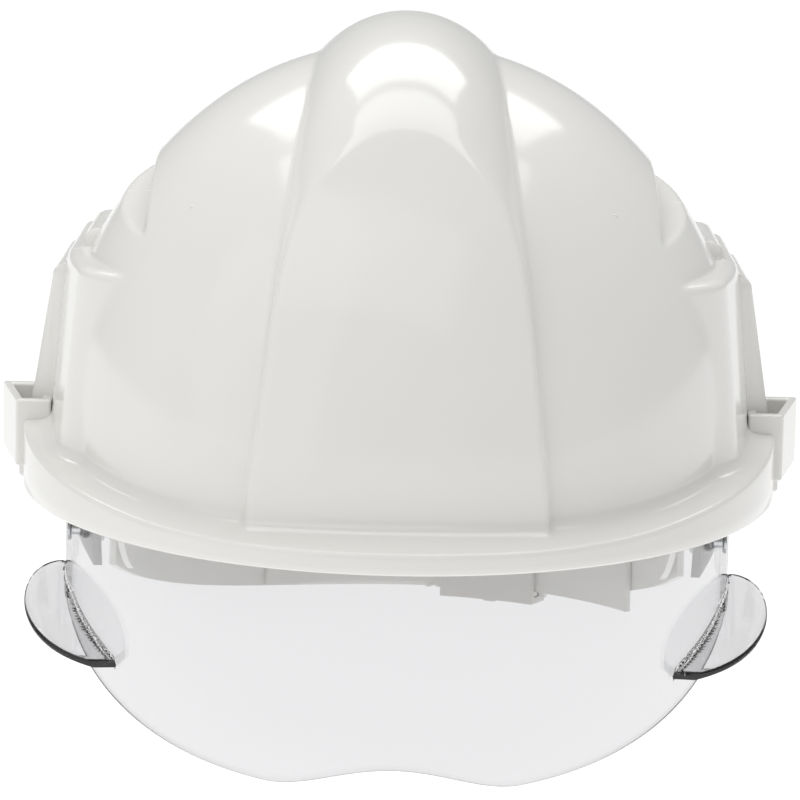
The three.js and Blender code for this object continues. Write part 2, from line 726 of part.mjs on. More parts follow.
function studHole(clip) {
  const outer = bandDistance(clip) + 1;
  const inner = outer - STALK_HALF_WIDTH - 4 * BAND_THICKNESS;
  return aimed(bar('x', STUD_RADIUS + GAP, inner, outer, [0, studHeight(clip)], 16), clip.yaw, clip.y);
}

// The rivets that join the headband's ends to the nape pieces.
const END_RIVET_Y = BAND_END - 6;

function endRivetAxis(radius, low, high) {
  return bar('x', radius, low, high, [END_RIVET_Y, bandHeight(END_RIVET_Y) - 2], 16);
}

function headband() {
  const half = BAND_HEIGHT / 2;
  const flat = headRing(0, BAND_THICKNESS, -half, half, BAND_END);
  const dropped = toSolid(bend(toGeometry(flat), (x, y, z) => [x, y, z + bandHeight(y)]));
  const studs = CLIPS.filter((clip) => clip.kind !== 'rear').map(studHole);
  return cut(dropped, ...studs, endRivetAxis(RIVET_RADIUS + GAP, -FAR, FAR));
}

function sweatband() {
  const low = BAND_FRONT_Z - SWEATBAND_HEIGHT / 2;
  const inner = -GAP - SWEATBAND_THICKNESS;
  return headRing(inner, -GAP, low, low + SWEATBAND_HEIGHT, SWEATBAND_BACK);
}

// ---- Nape pieces, whose angles run from straight back towards +X ----

// A point on a circle about the nape's centre.
function napePoint(radius, angle) {
  return [radius * Math.sin(rad(angle)), NAPE_Y + radius * Math.cos(rad(angle))];
}

function arcBand(outer, thickness, from, to, low, high) {
  const steps = Math.max(2, Math.ceil((to - from) / 3.5));
  const angle = (i) => from + ((to - from) * i) / steps;
  const points = [];
  for (let i = 0; i <= steps; i += 1) points.push(napePoint(outer, angle(i)));
  for (let i = steps; i >= 0; i -= 1) points.push(napePoint(outer - thickness, angle(i)));
  return prism('z', polygon(points), low, high);
}

// Lifts the lower edge of a nape band towards its ends.
function lifted(solid) {
  return toSolid(bend(toGeometry(solid), (x, y, z) => {
    const angle = Math.atan2(x, y - NAPE_Y) / rad(NAPE_HALF_ANGLE);
    const low = z < NAPE_TOP - NAPE_HEIGHT / 2;
    return [x, y, low ? z + NAPE_END_LIFT * Math.abs(angle) ** 3 : z];
  }));
}

// Turns a solid drawn at the rear about the nape's centre.
function atNape(solid, angle) {
  return solid.translate([0, -NAPE_Y, 0]).rotate([0, 0, -angle]).translate([0, NAPE_Y, 0]);
}

function napePiece(from, to) {
  const band = lifted(arcBand(NAPE_RADIUS, NAPE_THICKNESS, from, to, NAPE_TOP - NAPE_HEIGHT, NAPE_TOP));
  return cut(band, endRivetAxis(RIVET_RADIUS + GAP, -FAR, FAR));
}

const napeBand = () => napePiece(-NAPE_HALF_ANGLE, NAPE_BAND_END);
const napeGuide = () => napePiece(NAPE_GUIDE_START, NAPE_HALF_ANGLE);

// The toothed strap that slides through the buckle.
function napeStrap() {
  const top = STRAP_LOW + STRAP_BAND_HEIGHT;
  const band = arcBand(STRAP_BAND_RADIUS, STRAP_BAND_THICKNESS, STRAP_START, STRAP_END, STRAP_LOW, top);
  const pitch = TOOTH_PITCH / rad(STRAP_BAND_RADIUS);
  const teeth = [];
  for (let i = 0; i < TEETH; i += 1) {
    const from = BUCKLE_ANGLE + (i - TEETH / 2) * pitch;
    const low = STRAP_LOW - TOOTH_DEPTH;
    teeth.push(arcBand(STRAP_BAND_RADIUS, STRAP_BAND_THICKNESS, from, from + pitch / 2, low, STRAP_LOW + 1));
  }
  return join(band, ...teeth);
}

// A rivet from inside the headband to outside the nape piece, on the right side.
function endRivet() {
  const inner = planDistance(bandPlan(0), 0, END_RIVET_Y) - GAP;
  const outer = Math.sqrt(NAPE_RADIUS ** 2 - (END_RIVET_Y - NAPE_Y) ** 2) + GAP + RIVET_LEAN;
  return join(
    endRivetAxis(RIVET_RADIUS, inner - RIVET_LEAN - RIVET_HEAD, outer + RIVET_HEAD),
    endRivetAxis(RIVET_HEAD_RADIUS, inner - RIVET_LEAN - RIVET_HEAD, inner - RIVET_LEAN),
    endRivetAxis(RIVET_HEAD_RADIUS, outer, outer + RIVET_HEAD),
  );
}

const BUCKLE_OUTER = NAPE_RADIUS + GAP + BUCKLE_WALL;
const TAB_PIN = [-TAB_LENGTH / 2, NAPE_Y + BUCKLE_OUTER + TAB_LIFT];
const TAB_MIDDLE = NAPE_TOP - NAPE_HEIGHT / 2;

// The sleeve round the nape band and the strap, with two ears for the release tab's pin.
function buckle() {
  const [from, to] = [BUCKLE_ANGLE - BUCKLE_HALF_ANGLE, BUCKLE_ANGLE + BUCKLE_HALF_ANGLE];
  const layers = NAPE_THICKNESS + GAP + STRAP_BAND_THICKNESS + 2 * GAP;
  const low = NAPE_TOP - NAPE_HEIGHT - GAP;
  const high = NAPE_TOP + GAP + 0.4;
  const depth = layers + 2 * BUCKLE_WALL;
  const outside = arcBand(BUCKLE_OUTER, depth, from, to, low - BUCKLE_WALL, high + BUCKLE_WALL);
  const inside = arcBand(NAPE_RADIUS + GAP, layers, from - 1, to + 1, low, high);
  const foot = box(
    [-FOOT_WINDOW, NAPE_Y + STRAP_BAND_RADIUS - 2 * NAPE_THICKNESS, low - 2 * BUCKLE_WALL],
    [FOOT_WINDOW, FAR, low + GAP],
  );
  const sleeve = cut(outside, inside, atNape(foot, BUCKLE_ANGLE));
  const ear = (bottom) => {
    const [x, y] = TAB_PIN;
    const around = 2 * TAB_PIN_RADIUS;
    const top = bottom + EAR_THICKNESS;
    const block = box([x - around, y - TAB_LIFT - 1, bottom], [x + around, y + around, top]);
    return cut(block, bar('z', TAB_PIN_RADIUS + GAP, -FAR, FAR, TAB_PIN, 16));
  };
  const half = TAB_HEIGHT / 2 + GAP;
  const ears = [ear(TAB_MIDDLE + half), ear(TAB_MIDDLE - half - EAR_THICKNESS)];
  return join(sleeve, ...ears.map((piece) => atNape(piece, BUCKLE_ANGLE)));
}

function tabPin() {
  const reachOut = TAB_HEIGHT / 2 + GAP + EAR_THICKNESS;
  const pin = bar('z', TAB_PIN_RADIUS, TAB_MIDDLE - reachOut, TAB_MIDDLE + reachOut, TAB_PIN, 16);
  return atNape(pin, BUCKLE_ANGLE);
}

// The release tab: a barrel round its pin, a finger plate, and a foot that reaches under the strap's teeth.
function releaseTab() {
  const [x, y] = TAB_PIN;
  const [low, high] = [TAB_MIDDLE - TAB_HEIGHT / 2, TAB_MIDDLE + TAB_HEIGHT / 2];
  const face = y - TAB_THICKNESS / 2;
  const barrel = bar('z', TAB_PIN_RADIUS * 2, low, high, TAB_PIN, 20);
  const plate = box([x, face, low], [x + TAB_LENGTH, face + TAB_THICKNESS, high]);
  const footTop = STRAP_LOW - TOOTH_DEPTH - GAP;
  const footLow = NAPE_TOP - NAPE_HEIGHT - GAP - BUCKLE_WALL - 1;
  const arm = box([-FOOT_HALF, face, footLow], [FOOT_HALF, face + TAB_THICKNESS, low + 1]);
  const underStrap = NAPE_Y + STRAP_BAND_RADIUS - STRAP_BAND_THICKNESS;
  const foot = box([-FOOT_HALF, underStrap, footLow], [FOOT_HALF, face + 1, footTop]);
  const solid = cut(join(barrel, plate, arm, foot), bar('z', TAB_PIN_RADIUS + GAP, -FAR, FAR, TAB_PIN, 16));
  return atNape(solid, BUCKLE_ANGLE);
}

// ---- Crown straps and their clips ----

// One half of a strap's long section, from the crown out to its clip.
function strapRise(distance, radius, low, high) {
  return low + (high - low) * Math.max(0, 1 - (distance / radius) ** STRAP_POWER) ** (1 / STRAP_POWER);
}

function strapProfile(ends, high, inset) {
  const points = [];
  const steps = 14;
  for (const [sign, end] of [[-1, ends[0]], [1, ends[1]]]) {
    const radius = end.radius + STRAP_THICKNESS / 2 - inset;
    const seat = [sign * radius, end.top - STRAP_SEAT];
    if (sign < 0) points.push(seat);
    for (let i = sign < 0 ? 0 : 1; i <= steps; i += 1) {
      const turn = (Math.PI / 2) * (sign < 0 ? 1 - i / steps : i / steps);
      const distance = radius * Math.sin(turn) ** (2 / STRAP_POWER);
      points.push([sign * distance, strapRise(distance, radius, end.top, high - inset)]);
    }
    if (sign > 0) points.push(seat);
  }
  return points;
}

function crownStrap(ends, high, yaw, y) {
  const outline = [...strapProfile(ends, high, 0), ...strapProfile(ends, high, STRAP_THICKNESS).reverse()];
  return aimed(prism('y', polygon(outline), -STRAP_WIDTH / 2, STRAP_WIDTH / 2), yaw, y);
}

function crownPatch() {
  const low = CROWN_STRAP_TOP + GAP;
  return bar('z', PATCH_RADIUS, low, low + PATCH_THICKNESS, [0, HARNESS_Y], 40);
}

// The pocket of a clip that holds its strap's end.
function strapPocket(clip) {
  const thick = STRAP_THICKNESS / 2 + GAP;
  const wide = STRAP_WIDTH / 2 + GAP;
  const low = clip.top - STRAP_SEAT - GAP;
  return box([clip.radius - thick, -wide, low], [clip.radius + thick, wide, clip.top + 1]);
}

function clipBody(clip) {
  const middle = socketWall(clip) - SOCKET_DEPTH / 2;
  const wide = LUG_WIDTH / 2;
  const footLow = clip.low - GAP - FOOT_THICKNESS;
  const holder = [clip.radius - CLIP_THICKNESS / 2, clip.radius + CLIP_THICKNESS / 2];
  const half = STRAP_WIDTH / 2 + CLIP_CHEEK;
  const lugTop = clip.low + LUG_HEIGHT;
  const lug = box([middle - LUG_THICKNESS / 2, -wide, footLow], [middle + LUG_THICKNESS / 2, wide, lugTop]);
  const foot = box([holder[0], -wide, footLow], [middle + LUG_THICKNESS / 2 + 1, wide, clip.low - GAP]);
  const pieces = [lug, foot];
  if (clip.kind === 'front') pieces.push(...frontHanger(clip, holder, footLow, half));
  else pieces.push(box([holder[0], -half, footLow], [holder[1], half, clip.top]));
  if (clip.kind === 'side') {
    const low = studHeight(clip) - 2 * STUD_RADIUS;
    pieces.push(box([holder[0], -STALK_HALF_WIDTH, low], [holder[1], STALK_HALF_WIDTH, clip.low]));
    pieces.push(stud(clip, holder[0] + 1));
  }
  return aimed(cut(join(...pieces), strapPocket(clip)), clip.yaw, clip.y);
}

function stud(clip, from) {
  const middle = planDistance(bandPlan(BAND_THICKNESS / 2), clip.yaw, clip.y);
  return bar('x', STUD_RADIUS, middle, from, [0, studHeight(clip)], 16);
}

// A front clip reaches down inside the raised visor: an upright, a slope out to the headband, and a stud.
function frontHanger(clip, holder, footLow, half) {
  const knee = clip.top;
  const out = bandDistance(clip) + GAP;
  const low = studHeight(clip) - 2 * STUD_RADIUS;
  const bendLow = BAND_FRONT_Z + BAND_HEIGHT / 2 + 2;
  const back = holder[1];
  const side = polygon([
    [back - 1, clip.low - GAP],
    [back - 1, knee - 12],
    [out, bendLow],
    [out, low],
    [out + HANGER_THICKNESS, low],
    [out + HANGER_THICKNESS, bendLow],
    [back + HANGER_THICKNESS, knee],
    [back + HANGER_THICKNESS, clip.low - GAP],
  ]);
  const pocket = box([holder[0], -half, clip.top - STRAP_SEAT - 2], [holder[1], half, clip.top]);
  return [prism('y', side, -STALK_HALF_WIDTH, STALK_HALF_WIDTH), pocket, stud(clip, out + 1)];
}

// ---- Assembly ----

const hat = new THREE.Group();

function add(name, solid, finish) {
  const mesh = new THREE.Mesh(toGeometry(solid), new THREE.MeshStandardMaterial(finish));
  mesh.name = name;
  hat.add(mesh);
}

function addPair(name, solid, finish) {
  add(`${name}_right`, solid, finish);
  add(`${name}_left`, mirrored(solid), finish);
}

add('shell', shell(), SHELL_WHITE);

add('visor_lens', lens(), CLEAR);
addPair('visor_arm', arm(), BAND_WHITE);
addPair('visor_rivet_rear', armRivet(RIVET_PLACES[0]), STEEL);
addPair('visor_rivet_front', armRivet(RIVET_PLACES[1]), STEEL);
addPair('visor_bracket', bracket(), BRACKET_GREY);
addPair('pivot_screw', pivotScrew(), STEEL);
addPair('friction_washer', frictionWasher(), STEEL);

add('headband', headband(), BAND_WHITE);
add('sweatband', sweatband(), FOAM);
addPair('headband_rivet', endRivet(), BUCKLE_WHITE);
add('nape_band', napeBand(), BAND_WHITE);
add('nape_guide', napeGuide(), BAND_WHITE);
add('nape_strap', napeStrap(), BAND_WHITE);
add('nape_buckle', buckle(), BUCKLE_WHITE);
add('release_tab', releaseTab(), BUCKLE_WHITE);
add('tab_pin', tabPin(), STEEL);

for (const clip of CLIPS) add(`harness_clip_${clip.name}`, clipBody(clip), CLIP_WHITE);
const layer = STRAP_THICKNESS + STRAP_CROSSING_GAP;
add('crown_strap_side', crownStrap([SIDE, SIDE], CROWN_STRAP_TOP - 2 * layer, 0, SIDE_STRAP_Y), WEBBING);
add('crown_strap_left', crownStrap([REAR, FRONT], CROWN_STRAP_TOP - layer, -STRAP_YAW, HARNESS_Y), WEBBING);
add('crown_strap_right', crownStrap([FRONT, REAR], CROWN_STRAP_TOP, STRAP_YAW, HARNESS_Y), WEBBING);
add('crown_patch', crownPatch(), WEBBING);

export default hat;
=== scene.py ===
import json
import math

import bmesh
import bpy
import numpy as np
from mathutils import Matrix, Vector

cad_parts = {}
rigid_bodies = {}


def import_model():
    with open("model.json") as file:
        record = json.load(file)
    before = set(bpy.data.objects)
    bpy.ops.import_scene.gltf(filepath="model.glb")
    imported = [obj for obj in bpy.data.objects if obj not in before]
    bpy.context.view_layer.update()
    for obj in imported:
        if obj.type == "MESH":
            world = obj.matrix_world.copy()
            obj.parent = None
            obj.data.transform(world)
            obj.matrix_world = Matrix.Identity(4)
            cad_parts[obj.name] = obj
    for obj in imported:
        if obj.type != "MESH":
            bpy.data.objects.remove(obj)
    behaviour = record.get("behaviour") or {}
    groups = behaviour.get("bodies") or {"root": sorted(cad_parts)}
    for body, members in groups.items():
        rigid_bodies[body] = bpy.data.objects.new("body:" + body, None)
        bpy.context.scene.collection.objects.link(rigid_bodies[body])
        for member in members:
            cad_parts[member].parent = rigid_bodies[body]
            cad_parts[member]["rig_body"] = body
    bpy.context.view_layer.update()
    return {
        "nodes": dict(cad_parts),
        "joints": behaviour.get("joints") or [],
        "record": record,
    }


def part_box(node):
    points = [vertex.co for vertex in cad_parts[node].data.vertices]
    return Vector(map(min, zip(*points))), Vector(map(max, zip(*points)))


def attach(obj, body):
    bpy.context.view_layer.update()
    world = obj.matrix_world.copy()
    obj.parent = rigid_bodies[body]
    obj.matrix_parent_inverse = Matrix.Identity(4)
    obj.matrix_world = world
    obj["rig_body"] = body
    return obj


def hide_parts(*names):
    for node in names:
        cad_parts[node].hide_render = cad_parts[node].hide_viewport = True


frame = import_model()

# Lengths below are in millimetres, and MM turns them into Blender's metres.
MM = 0.001

# ---- Sizes taken from the frame ----

shell_low, shell_high = (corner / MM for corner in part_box("shell"))
patch_low, patch_high = (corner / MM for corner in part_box("crown_patch"))
sweat_low, sweat_high = (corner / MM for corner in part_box("sweatband"))
RIM_FRONT = -shell_low.y
RIM_REAR = shell_high.y
HOUSING_OUT = shell_high.x
PIVOT = Vector(next(j for j in frame["joints"] if j["name"] == "visor_pivot")["pos_m"]) / MM

# ---- Shell sizes ----

WALL = 2.5
# The face of a slot housing stands proud of the rim at its front end, and splays out towards its rear end.
HOUSING_PROUD = 1.5
HOUSING_SPLAY = 7
RIM_HALF_WIDTH = HOUSING_OUT - HOUSING_PROUD - HOUSING_SPLAY
BRIM_SIDE = 12.6
BRIM_END = 14
DOME_HALF_WIDTH = RIM_HALF_WIDTH - BRIM_SIDE
DOME_FRONT = RIM_FRONT - BRIM_END
DOME_REAR = RIM_REAR - BRIM_END
# The dome's widest plane, which is above the rim.
DOME_BASE = 15
CREST_RISE = 9.5
DOME_RISE = shell_high.z - CREST_RISE - DOME_BASE
DOME_POWER = 2.12
# The dome's sides are fuller than its superellipse by this share, most of all at one angle above its base.
DOME_BULGE = 0.032
DOME_BULGE_AT = math.radians(23)
DOME_BULGE_SPAN = math.radians(19)
CREST_HALF_WIDTH = 26
# From the crown down to the dome's base, the crest widens both ways, and it rises in front and fades behind.
CREST_SPREAD = 14.5
CREST_SPREAD_REAR = 5.2
CREST_NOSE = 5
CREST_FADE_REAR = 8.3
CREST_SINK = 0.2
CREST_ROUND = 0.8
# The ellipsoid that the crest's broad front face is part of.
FACE_FRONT = DOME_FRONT + 2.5
FACE_HALF_WIDTH = 112
FACE_RISE = 141.5
GROOVE_WALL = 71.5
GROOVE_FLOOR = 85
GROOVE_CLIMB = 0.12
GROOVE_FILLET = 3.5
GROOVE_ROUND = 0.9
TIER_ROUND = 1.0
# The outer lip's height above the rim's foot at the sides, in front and behind.
LIP_SIDE = 20
LIP_FRONT = 5.6
LIP_REAR = 11
LIP_EDGE = 1.3
LIP_EDGE_INSIDE = 0.6
# The lip's height levels out towards both ends of the hat, from this share of the way.
LIP_LEVEL_FROM = 0.88
LIP_LEVEL_ROUND = 0.12
FOOT_ROUND = 0.7
# The rim stays at least this far outside the wall, with a round where it would come closer.
RIM_MARGIN = 2.0
RIM_ROUND = 3.0
BRIM_FILLET = 4.5
# How far the fillet climbs the wall, as a share of its width.
FILLET_CLIMB = 0.75
FILLET_CLIMB_INSIDE = 0.4
BRIM_SLOPE = 0.06
BRIM_SLOPE_GAIN = 0.28
# Reaches past this one are outside the whole shell, and it stands for them all.
FAR = 900
TINY = 1e-9
SHARP_ANGLE = math.radians(32)

# ---- Small tools ----


def clamp(value, low, high):
    return np.minimum(np.maximum(value, low), high)


def smoothstep(value):
    t = clamp(value, 0.0, 1.0)
    return t * t * (3 - 2 * t)


def soft_min(a, b, width):
    """The lower of two fields, with a round of about that width where they cross."""
    share = clamp(0.5 + 0.5 * (b - a) / width, 0.0, 1.0)
    return b * (1 - share) + a * share - width * share * (1 - share)


def soft_max(a, b, width):
    return -soft_min(-a, -b, width)


def shade_smooth(mesh):
    mesh.polygons.foreach_set("use_smooth", [True] * len(mesh.polygons))


def link_new(name, data):
    """A new object in the scene that shows a mesh, a light or a camera."""
    obj = bpy.data.objects.new(name, data)
    bpy.context.scene.collection.objects.link(obj)
    return obj


def mesh_object(name, vertices, faces):
    """A new object from points in millimetres."""
    mesh = bpy.data.meshes.new(name)
    mesh.from_pydata([tuple(v) for v in np.asarray(vertices, float) * MM], [], faces)
    mesh.validate()
    shade_smooth(mesh)
    return link_new(name, mesh)


def grid_faces(rows, columns, start=0, flip=False):
    """Quads between rows of points, with each row's last point joined to its first."""
    faces = []
    for i in range(rows - 1):
        for j in range(columns):
            a = start + i * columns + j
            b = start + i * columns + (j + 1) % columns
            face = (a, b, b + columns, a + columns)
            faces.append(face[::-1] if flip else face)
    return faces


def apply_modifiers(obj):
    depsgraph = bpy.context.evaluated_depsgraph_get()
    mesh = bpy.data.meshes.new_from_object(obj.evaluated_get(depsgraph))
    obj.modifiers.clear()
    old = obj.data
    obj.data = mesh
    bpy.data.meshes.remove(old)


def cleaned(obj, distance):
    """Merges points that lie together and turns all faces outwards."""
    bm = bmesh.new()
    bm.from_mesh(obj.data)
    bmesh.ops.remove_doubles(bm, verts=bm.verts, dist=distance * MM)
    bmesh.ops.recalc_face_normals(bm, faces=bm.faces)
    bm.to_mesh(obj.data)
    bm.free()


def evenly_shaded(obj):
    """Shades flats as flats, by weighting each normal by the size of its faces."""
    normals = obj.modifiers.new("normals", "WEIGHTED_NORMAL")
    normals.keep_sharp = True
    return normals


def rounded(obj, width, segments=2):
    """Rounds an object's sharp edges and shades its flats evenly."""
    bevel = obj.modifiers.new("bevel", "BEVEL")
    bevel.width = width * MM
    bevel.segments = segments
    bevel.limit_method = "ANGLE"
    bevel.angle_limit = SHARP_ANGLE
    bevel.harden_normals = False
    bevel.use_clamp_overlap = True
    apply_modifiers(obj)
    shade_smooth(obj.data)
    evenly_shaded(obj).weight = 60


# ---- Materials ----


def srgb(red, green, blue):
    """A colour given in 0 to 255 display values, as linear values."""
    def linear(value):
        share = value / 255
        return share / 12.92 if share <= 0.04045 else ((share + 0.055) / 1.055) ** 2.4
    return (linear(red), linear(green), linear(blue), 1.0)


class Finish:
    """A node material with a principled shader and the noise, ramp and bump nodes that feed it."""

    def __init__(self, name, roughness, metallic=0.0):
        self.material = bpy.data.materials.new(name)
        self.material.use_nodes = True
        self.tree = self.material.node_tree
        self.shader = self.tree.nodes["Principled BSDF"]
        self.shader.inputs["Metallic"].default_value = metallic
        self.shader.inputs["Roughness"].default_value = roughness
        self.place = self.node("ShaderNodeTexCoord").outputs["Object"]

    def node(self, kind, **settings):
        made = self.tree.nodes.new(kind)
        for key, value in settings.items():
            setattr(made, key, value)
        return made

    def link(self, output, target):
        self.tree.links.new(output, target)

    def noise(self, scale, detail, stretch=(1, 1, 1)):
        mapping = self.node("ShaderNodeMapping")
        mapping.inputs["Scale"].default_value = stretch
        self.link(self.place, mapping.inputs["Vector"])
        made = self.node("ShaderNodeTexNoise")
        made.inputs["Scale"].default_value = scale
        made.inputs["Detail"].default_value = detail
        self.link(mapping.outputs["Vector"], made.inputs["Vector"])
        return made.outputs["Fac"]

    def waves(self, scale, direction, distortion=0.0, angle=0.0):
        mapping = self.node("ShaderNodeMapping")
        mapping.inputs["Rotation"].default_value = (0, 0, math.radians(angle))
        self.link(self.place, mapping.inputs["Vector"])
        made = self.node("ShaderNodeTexWave", wave_type="BANDS", bands_direction=direction)
        made.inputs["Scale"].default_value = scale
        made.inputs["Distortion"].default_value = distortion
        self.link(mapping.outputs["Vector"], made.inputs["Vector"])
        return made.outputs["Fac"]

    def ramp(self, value, low_colour, high_colour, low=0.35, high=0.65):
        made = self.node("ShaderNodeValToRGB")
        made.color_ramp.elements[0].position = low
        made.color_ramp.elements[0].color = low_colour
        made.color_ramp.elements[1].position = high
        made.color_ramp.elements[1].color = high_colour
        self.link(value, made.inputs["Fac"])
        return made.outputs["Color"]

    def colour(self, output):
        self.link(output, self.shader.inputs["Base Color"])

    def roughness(self, value, low, high):
        made = self.node("ShaderNodeMapRange")
        made.inputs["To Min"].default_value = low
        made.inputs["To Max"].default_value = high
        self.link(value, made.inputs["Value"])
        self.link(made.outputs["Result"], self.shader.inputs["Roughness"])

    def bump(self, value, height, strength):
        """Adds relief of a height in millimetres, on top of any that is there."""
        made = self.node("ShaderNodeBump")
        made.inputs["Distance"].default_value = height * MM
        made.inputs["Strength"].default_value = strength
        self.link(value, made.inputs["Height"])
        before = self.shader.inputs["Normal"]
        if before.is_linked:
            self.link(before.links[0].from_socket, made.inputs["Normal"])
        self.link(made.outputs["Normal"], before)

    def both(self, a, b, operation):
        made = self.node("ShaderNodeMath", operation=operation)
        self.link(a, made.inputs[0])
        self.link(b, made.inputs[1])
        return made.outputs["Value"]


def shell_finish():
    """Glossy white moulded plastic, with a faint flow of tone and a few fine rubs."""
    finish = Finish("shell_white", 0.14)
    finish.colour(finish.ramp(finish.noise(9, 4), srgb(225, 224, 220), srgb(229, 228, 225)))
    finish.roughness(finish.noise(60, 5), 0.10, 0.17)
    finish.bump(finish.noise(26, 2), 0.05, 0.35)
    finish.bump(finish.noise(900, 2), 0.006, 0.25)
    finish.shader.inputs["IOR"].default_value = 1.5
    return finish.material


def lens_finish():
    """Clear polished polycarbonate."""
    finish = Finish("clear_lens", 0.02)
    finish.roughness(finish.noise(120, 4), 0.0, 0.03)
    finish.bump(finish.noise(20, 1), 0.02, 0.15)
    finish.shader.inputs["Base Color"].default_value = (0.68, 0.68, 0.69, 1)
    finish.shader.inputs["Transmission Weight"].default_value = 1.0
    finish.shader.inputs["IOR"].default_value = 1.585
    return finish.material


def moulded_finish(name, low_colour, high_colour, roughness):
    """Satin moulded plastic with a fine spark-eroded texture."""
    finish = Finish(name, roughness)
    finish.colour(finish.ramp(finish.noise(30, 4), low_colour, high_colour))
    finish.roughness(finish.noise(250, 3), roughness - 0.06, roughness + 0.08)
    finish.bump(finish.noise(2600, 2), 0.02, 0.5)
    return finish.material


def webbing_finish():
    """Flat woven webbing: ribs across the strap and warp threads along it."""
    finish = Finish("webbing_weave", 0.85)
    fine = finish.noise(3000, 2)
    first = finish.waves(480, "DIAGONAL")
    second = finish.waves(480, "DIAGONAL", angle=90)
    weave = finish.both(first, second, "MAXIMUM")
    finish.colour(finish.ramp(weave, srgb(196, 194, 186), srgb(228, 227, 220), 0.1, 0.9))
    finish.bump(weave, 0.25, 0.7)
    finish.bump(fine, 0.06, 0.5)
    finish.shader.inputs["Sheen Weight"].default_value = 0.3
    return finish.material


def sweatband_finish():
    """Soft knitted cloth with a dry nap."""
    finish = Finish("sweatband_cloth", 0.95)
    knit = finish.both(finish.waves(420, "Z"), finish.waves(420, "X", 1.5), "MULTIPLY")
    finish.colour(finish.ramp(finish.noise(900, 4), srgb(52, 55, 60), srgb(84, 87, 92)))
    finish.bump(knit, 0.2, 0.6)
    finish.bump(finish.noise(2400, 3), 0.1, 0.6)
    finish.shader.inputs["Sheen Weight"].default_value = 0.5
    return finish.material


def steel_finish():
    """Bright plated steel with fine turning marks."""
    finish = Finish("plated_steel", 0.3, metallic=1.0)
    finish.colour(finish.ramp(finish.noise(200, 3), srgb(186, 188, 191), srgb(214, 215, 217)))
    finish.roughness(finish.noise(700, 3, (1, 8, 8)), 0.2, 0.36)
    finish.bump(finish.noise(1600, 2, (1, 6, 6)), 0.01, 0.4)
    return finish.material


SHELL = shell_finish()
LENS = lens_finish()
BAND = moulded_finish("band_white", srgb(234, 233, 229), srgb(240, 239, 235), 0.38)
BUCKLE = moulded_finish("buckle_white", srgb(226, 224, 220), srgb(232, 230, 226), 0.36)
CLIP = moulded_finish("clip_white", srgb(214, 213, 208), srgb(222, 221, 216), 0.38)
BRACKET = moulded_finish("bracket_grey", srgb(150, 152, 154), srgb(160, 162, 164), 0.45)
WEBBING = webbing_finish()
CLOTH = sweatband_finish()
STEEL = steel_finish()
BY_SLOT = {
    "shell": SHELL, "visor": LENS, "band": BAND, "buckle": BUCKLE, "clip": CLIP,
    "bracket": BRACKET, "foam": CLOTH, "webbing": WEBBING, "steel": STEEL,
}
SLOT_OF = {row["node"]: row["material_slot"] for row in frame["record"]["subparts"]}


def settle(obj, body, slot, node):
    """Gives a finished piece its material and its body, and hides the CAD node that it stands for."""
    obj.data.materials.clear()
    obj.data.materials.append(BY_SLOT[slot])
    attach(obj, body)
    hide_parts(node)


# ---- Camera, lights and stage ----

VIEW_ELEVATION = math.radians(9.5)
VIEW_ROLL = math.radians(1.2)
VIEW_DISTANCE = 1200
VIEW_AIM_HEIGHT = 23.5
VIEW_LENS = 184.1
FLOOR_HALF_WIDTH = 30000
FLOOR_HEIGHT = -320


def make_camera():
    data = bpy.data.cameras.new("camera")
    data.lens = VIEW_LENS
    data.sensor_width = 36
    data.clip_start = 0.05
    data.clip_end = 100
    camera = link_new("camera", data)
    back = Vector((0, -math.cos(VIEW_ELEVATION), math.sin(VIEW_ELEVATION)))
    up = Vector((0, math.sin(VIEW_ELEVATION), math.cos(VIEW_ELEVATION)))
    right = Vector((1, 0, 0))
    rolled_right = right * math.cos(VIEW_ROLL) + up * math.sin(VIEW_ROLL)
    rolled_up = up * math.cos(VIEW_ROLL) - right * math.sin(VIEW_ROLL)
    turn = Matrix((rolled_right, rolled_up, back)).transposed()
    place = (Vector((0, 0, VIEW_AIM_HEIGHT)) + back * VIEW_DISTANCE) * MM
    camera.matrix_world = Matrix.Translation(place) @ turn.to_4x4()
    bpy.context.scene.camera = camera


def softbox(name, place, width, height, power, aim=(0, 0, 50)):
    """A rectangular light that faces a point near the object."""
    data = bpy.data.lights.new(name, "AREA")
    data.shape = "RECTANGLE"
    data.size = width * MM
    data.size_y = height * MM
    data.energy = power
    light = link_new(name, data)
    light.location = Vector(place) * MM
    away = Vector(aim) * MM - light.location
    light.rotation_mode = "QUATERNION"
    light.rotation_quaternion = away.to_track_quat("-Z", "Y")


def make_stage():
    """A pale floor well below the hat, which reaches past the edges of the view."""
    side = FLOOR_HALF_WIDTH
    plan = [(-side, -side), (side, -side), (side, side), (-side, side)]
    corners = [(x, y, FLOOR_HEIGHT) for x, y in plan]
    floor = mesh_object("floor", corners, [(0, 1, 2, 3)])
    paper = Finish("paper_white", 0.9)
    paper.colour(paper.ramp(paper.noise(3, 2), srgb(158, 158, 158), srgb(162, 162, 162)))
    paper.shader.inputs["Emission Color"].default_value = (1, 1, 1, 1)
    paper.shader.inputs["Emission Strength"].default_value = 0.85
    floor.data.materials.append(paper.material)


def make_world():
    world = bpy.data.worlds.new("studio")
    world.use_nodes = True
    bpy.context.scene.world = world
    background = world.node_tree.nodes["Background"]
    background.inputs["Color"].default_value = (1, 1, 1, 1)
    background.inputs["Strength"].default_value = 0.46
    bpy.context.scene.view_settings.view_transform = "Standard"


make_camera()
make_stage()
make_world()
softbox("top_back_light", (0, 900, 1100), width=1300, height=620, power=6)
softbox("front_top_light", (-500, -1400, 1400), width=2600, height=900, power=5)
softbox("overhead_light", (0, 115, 1500), width=1700, height=950, power=11, aim=(0, 115, 0))
softbox("left_light", (-1700, -1300, 1100), width=2600, height=2600, power=10)

# ---- Shell ----


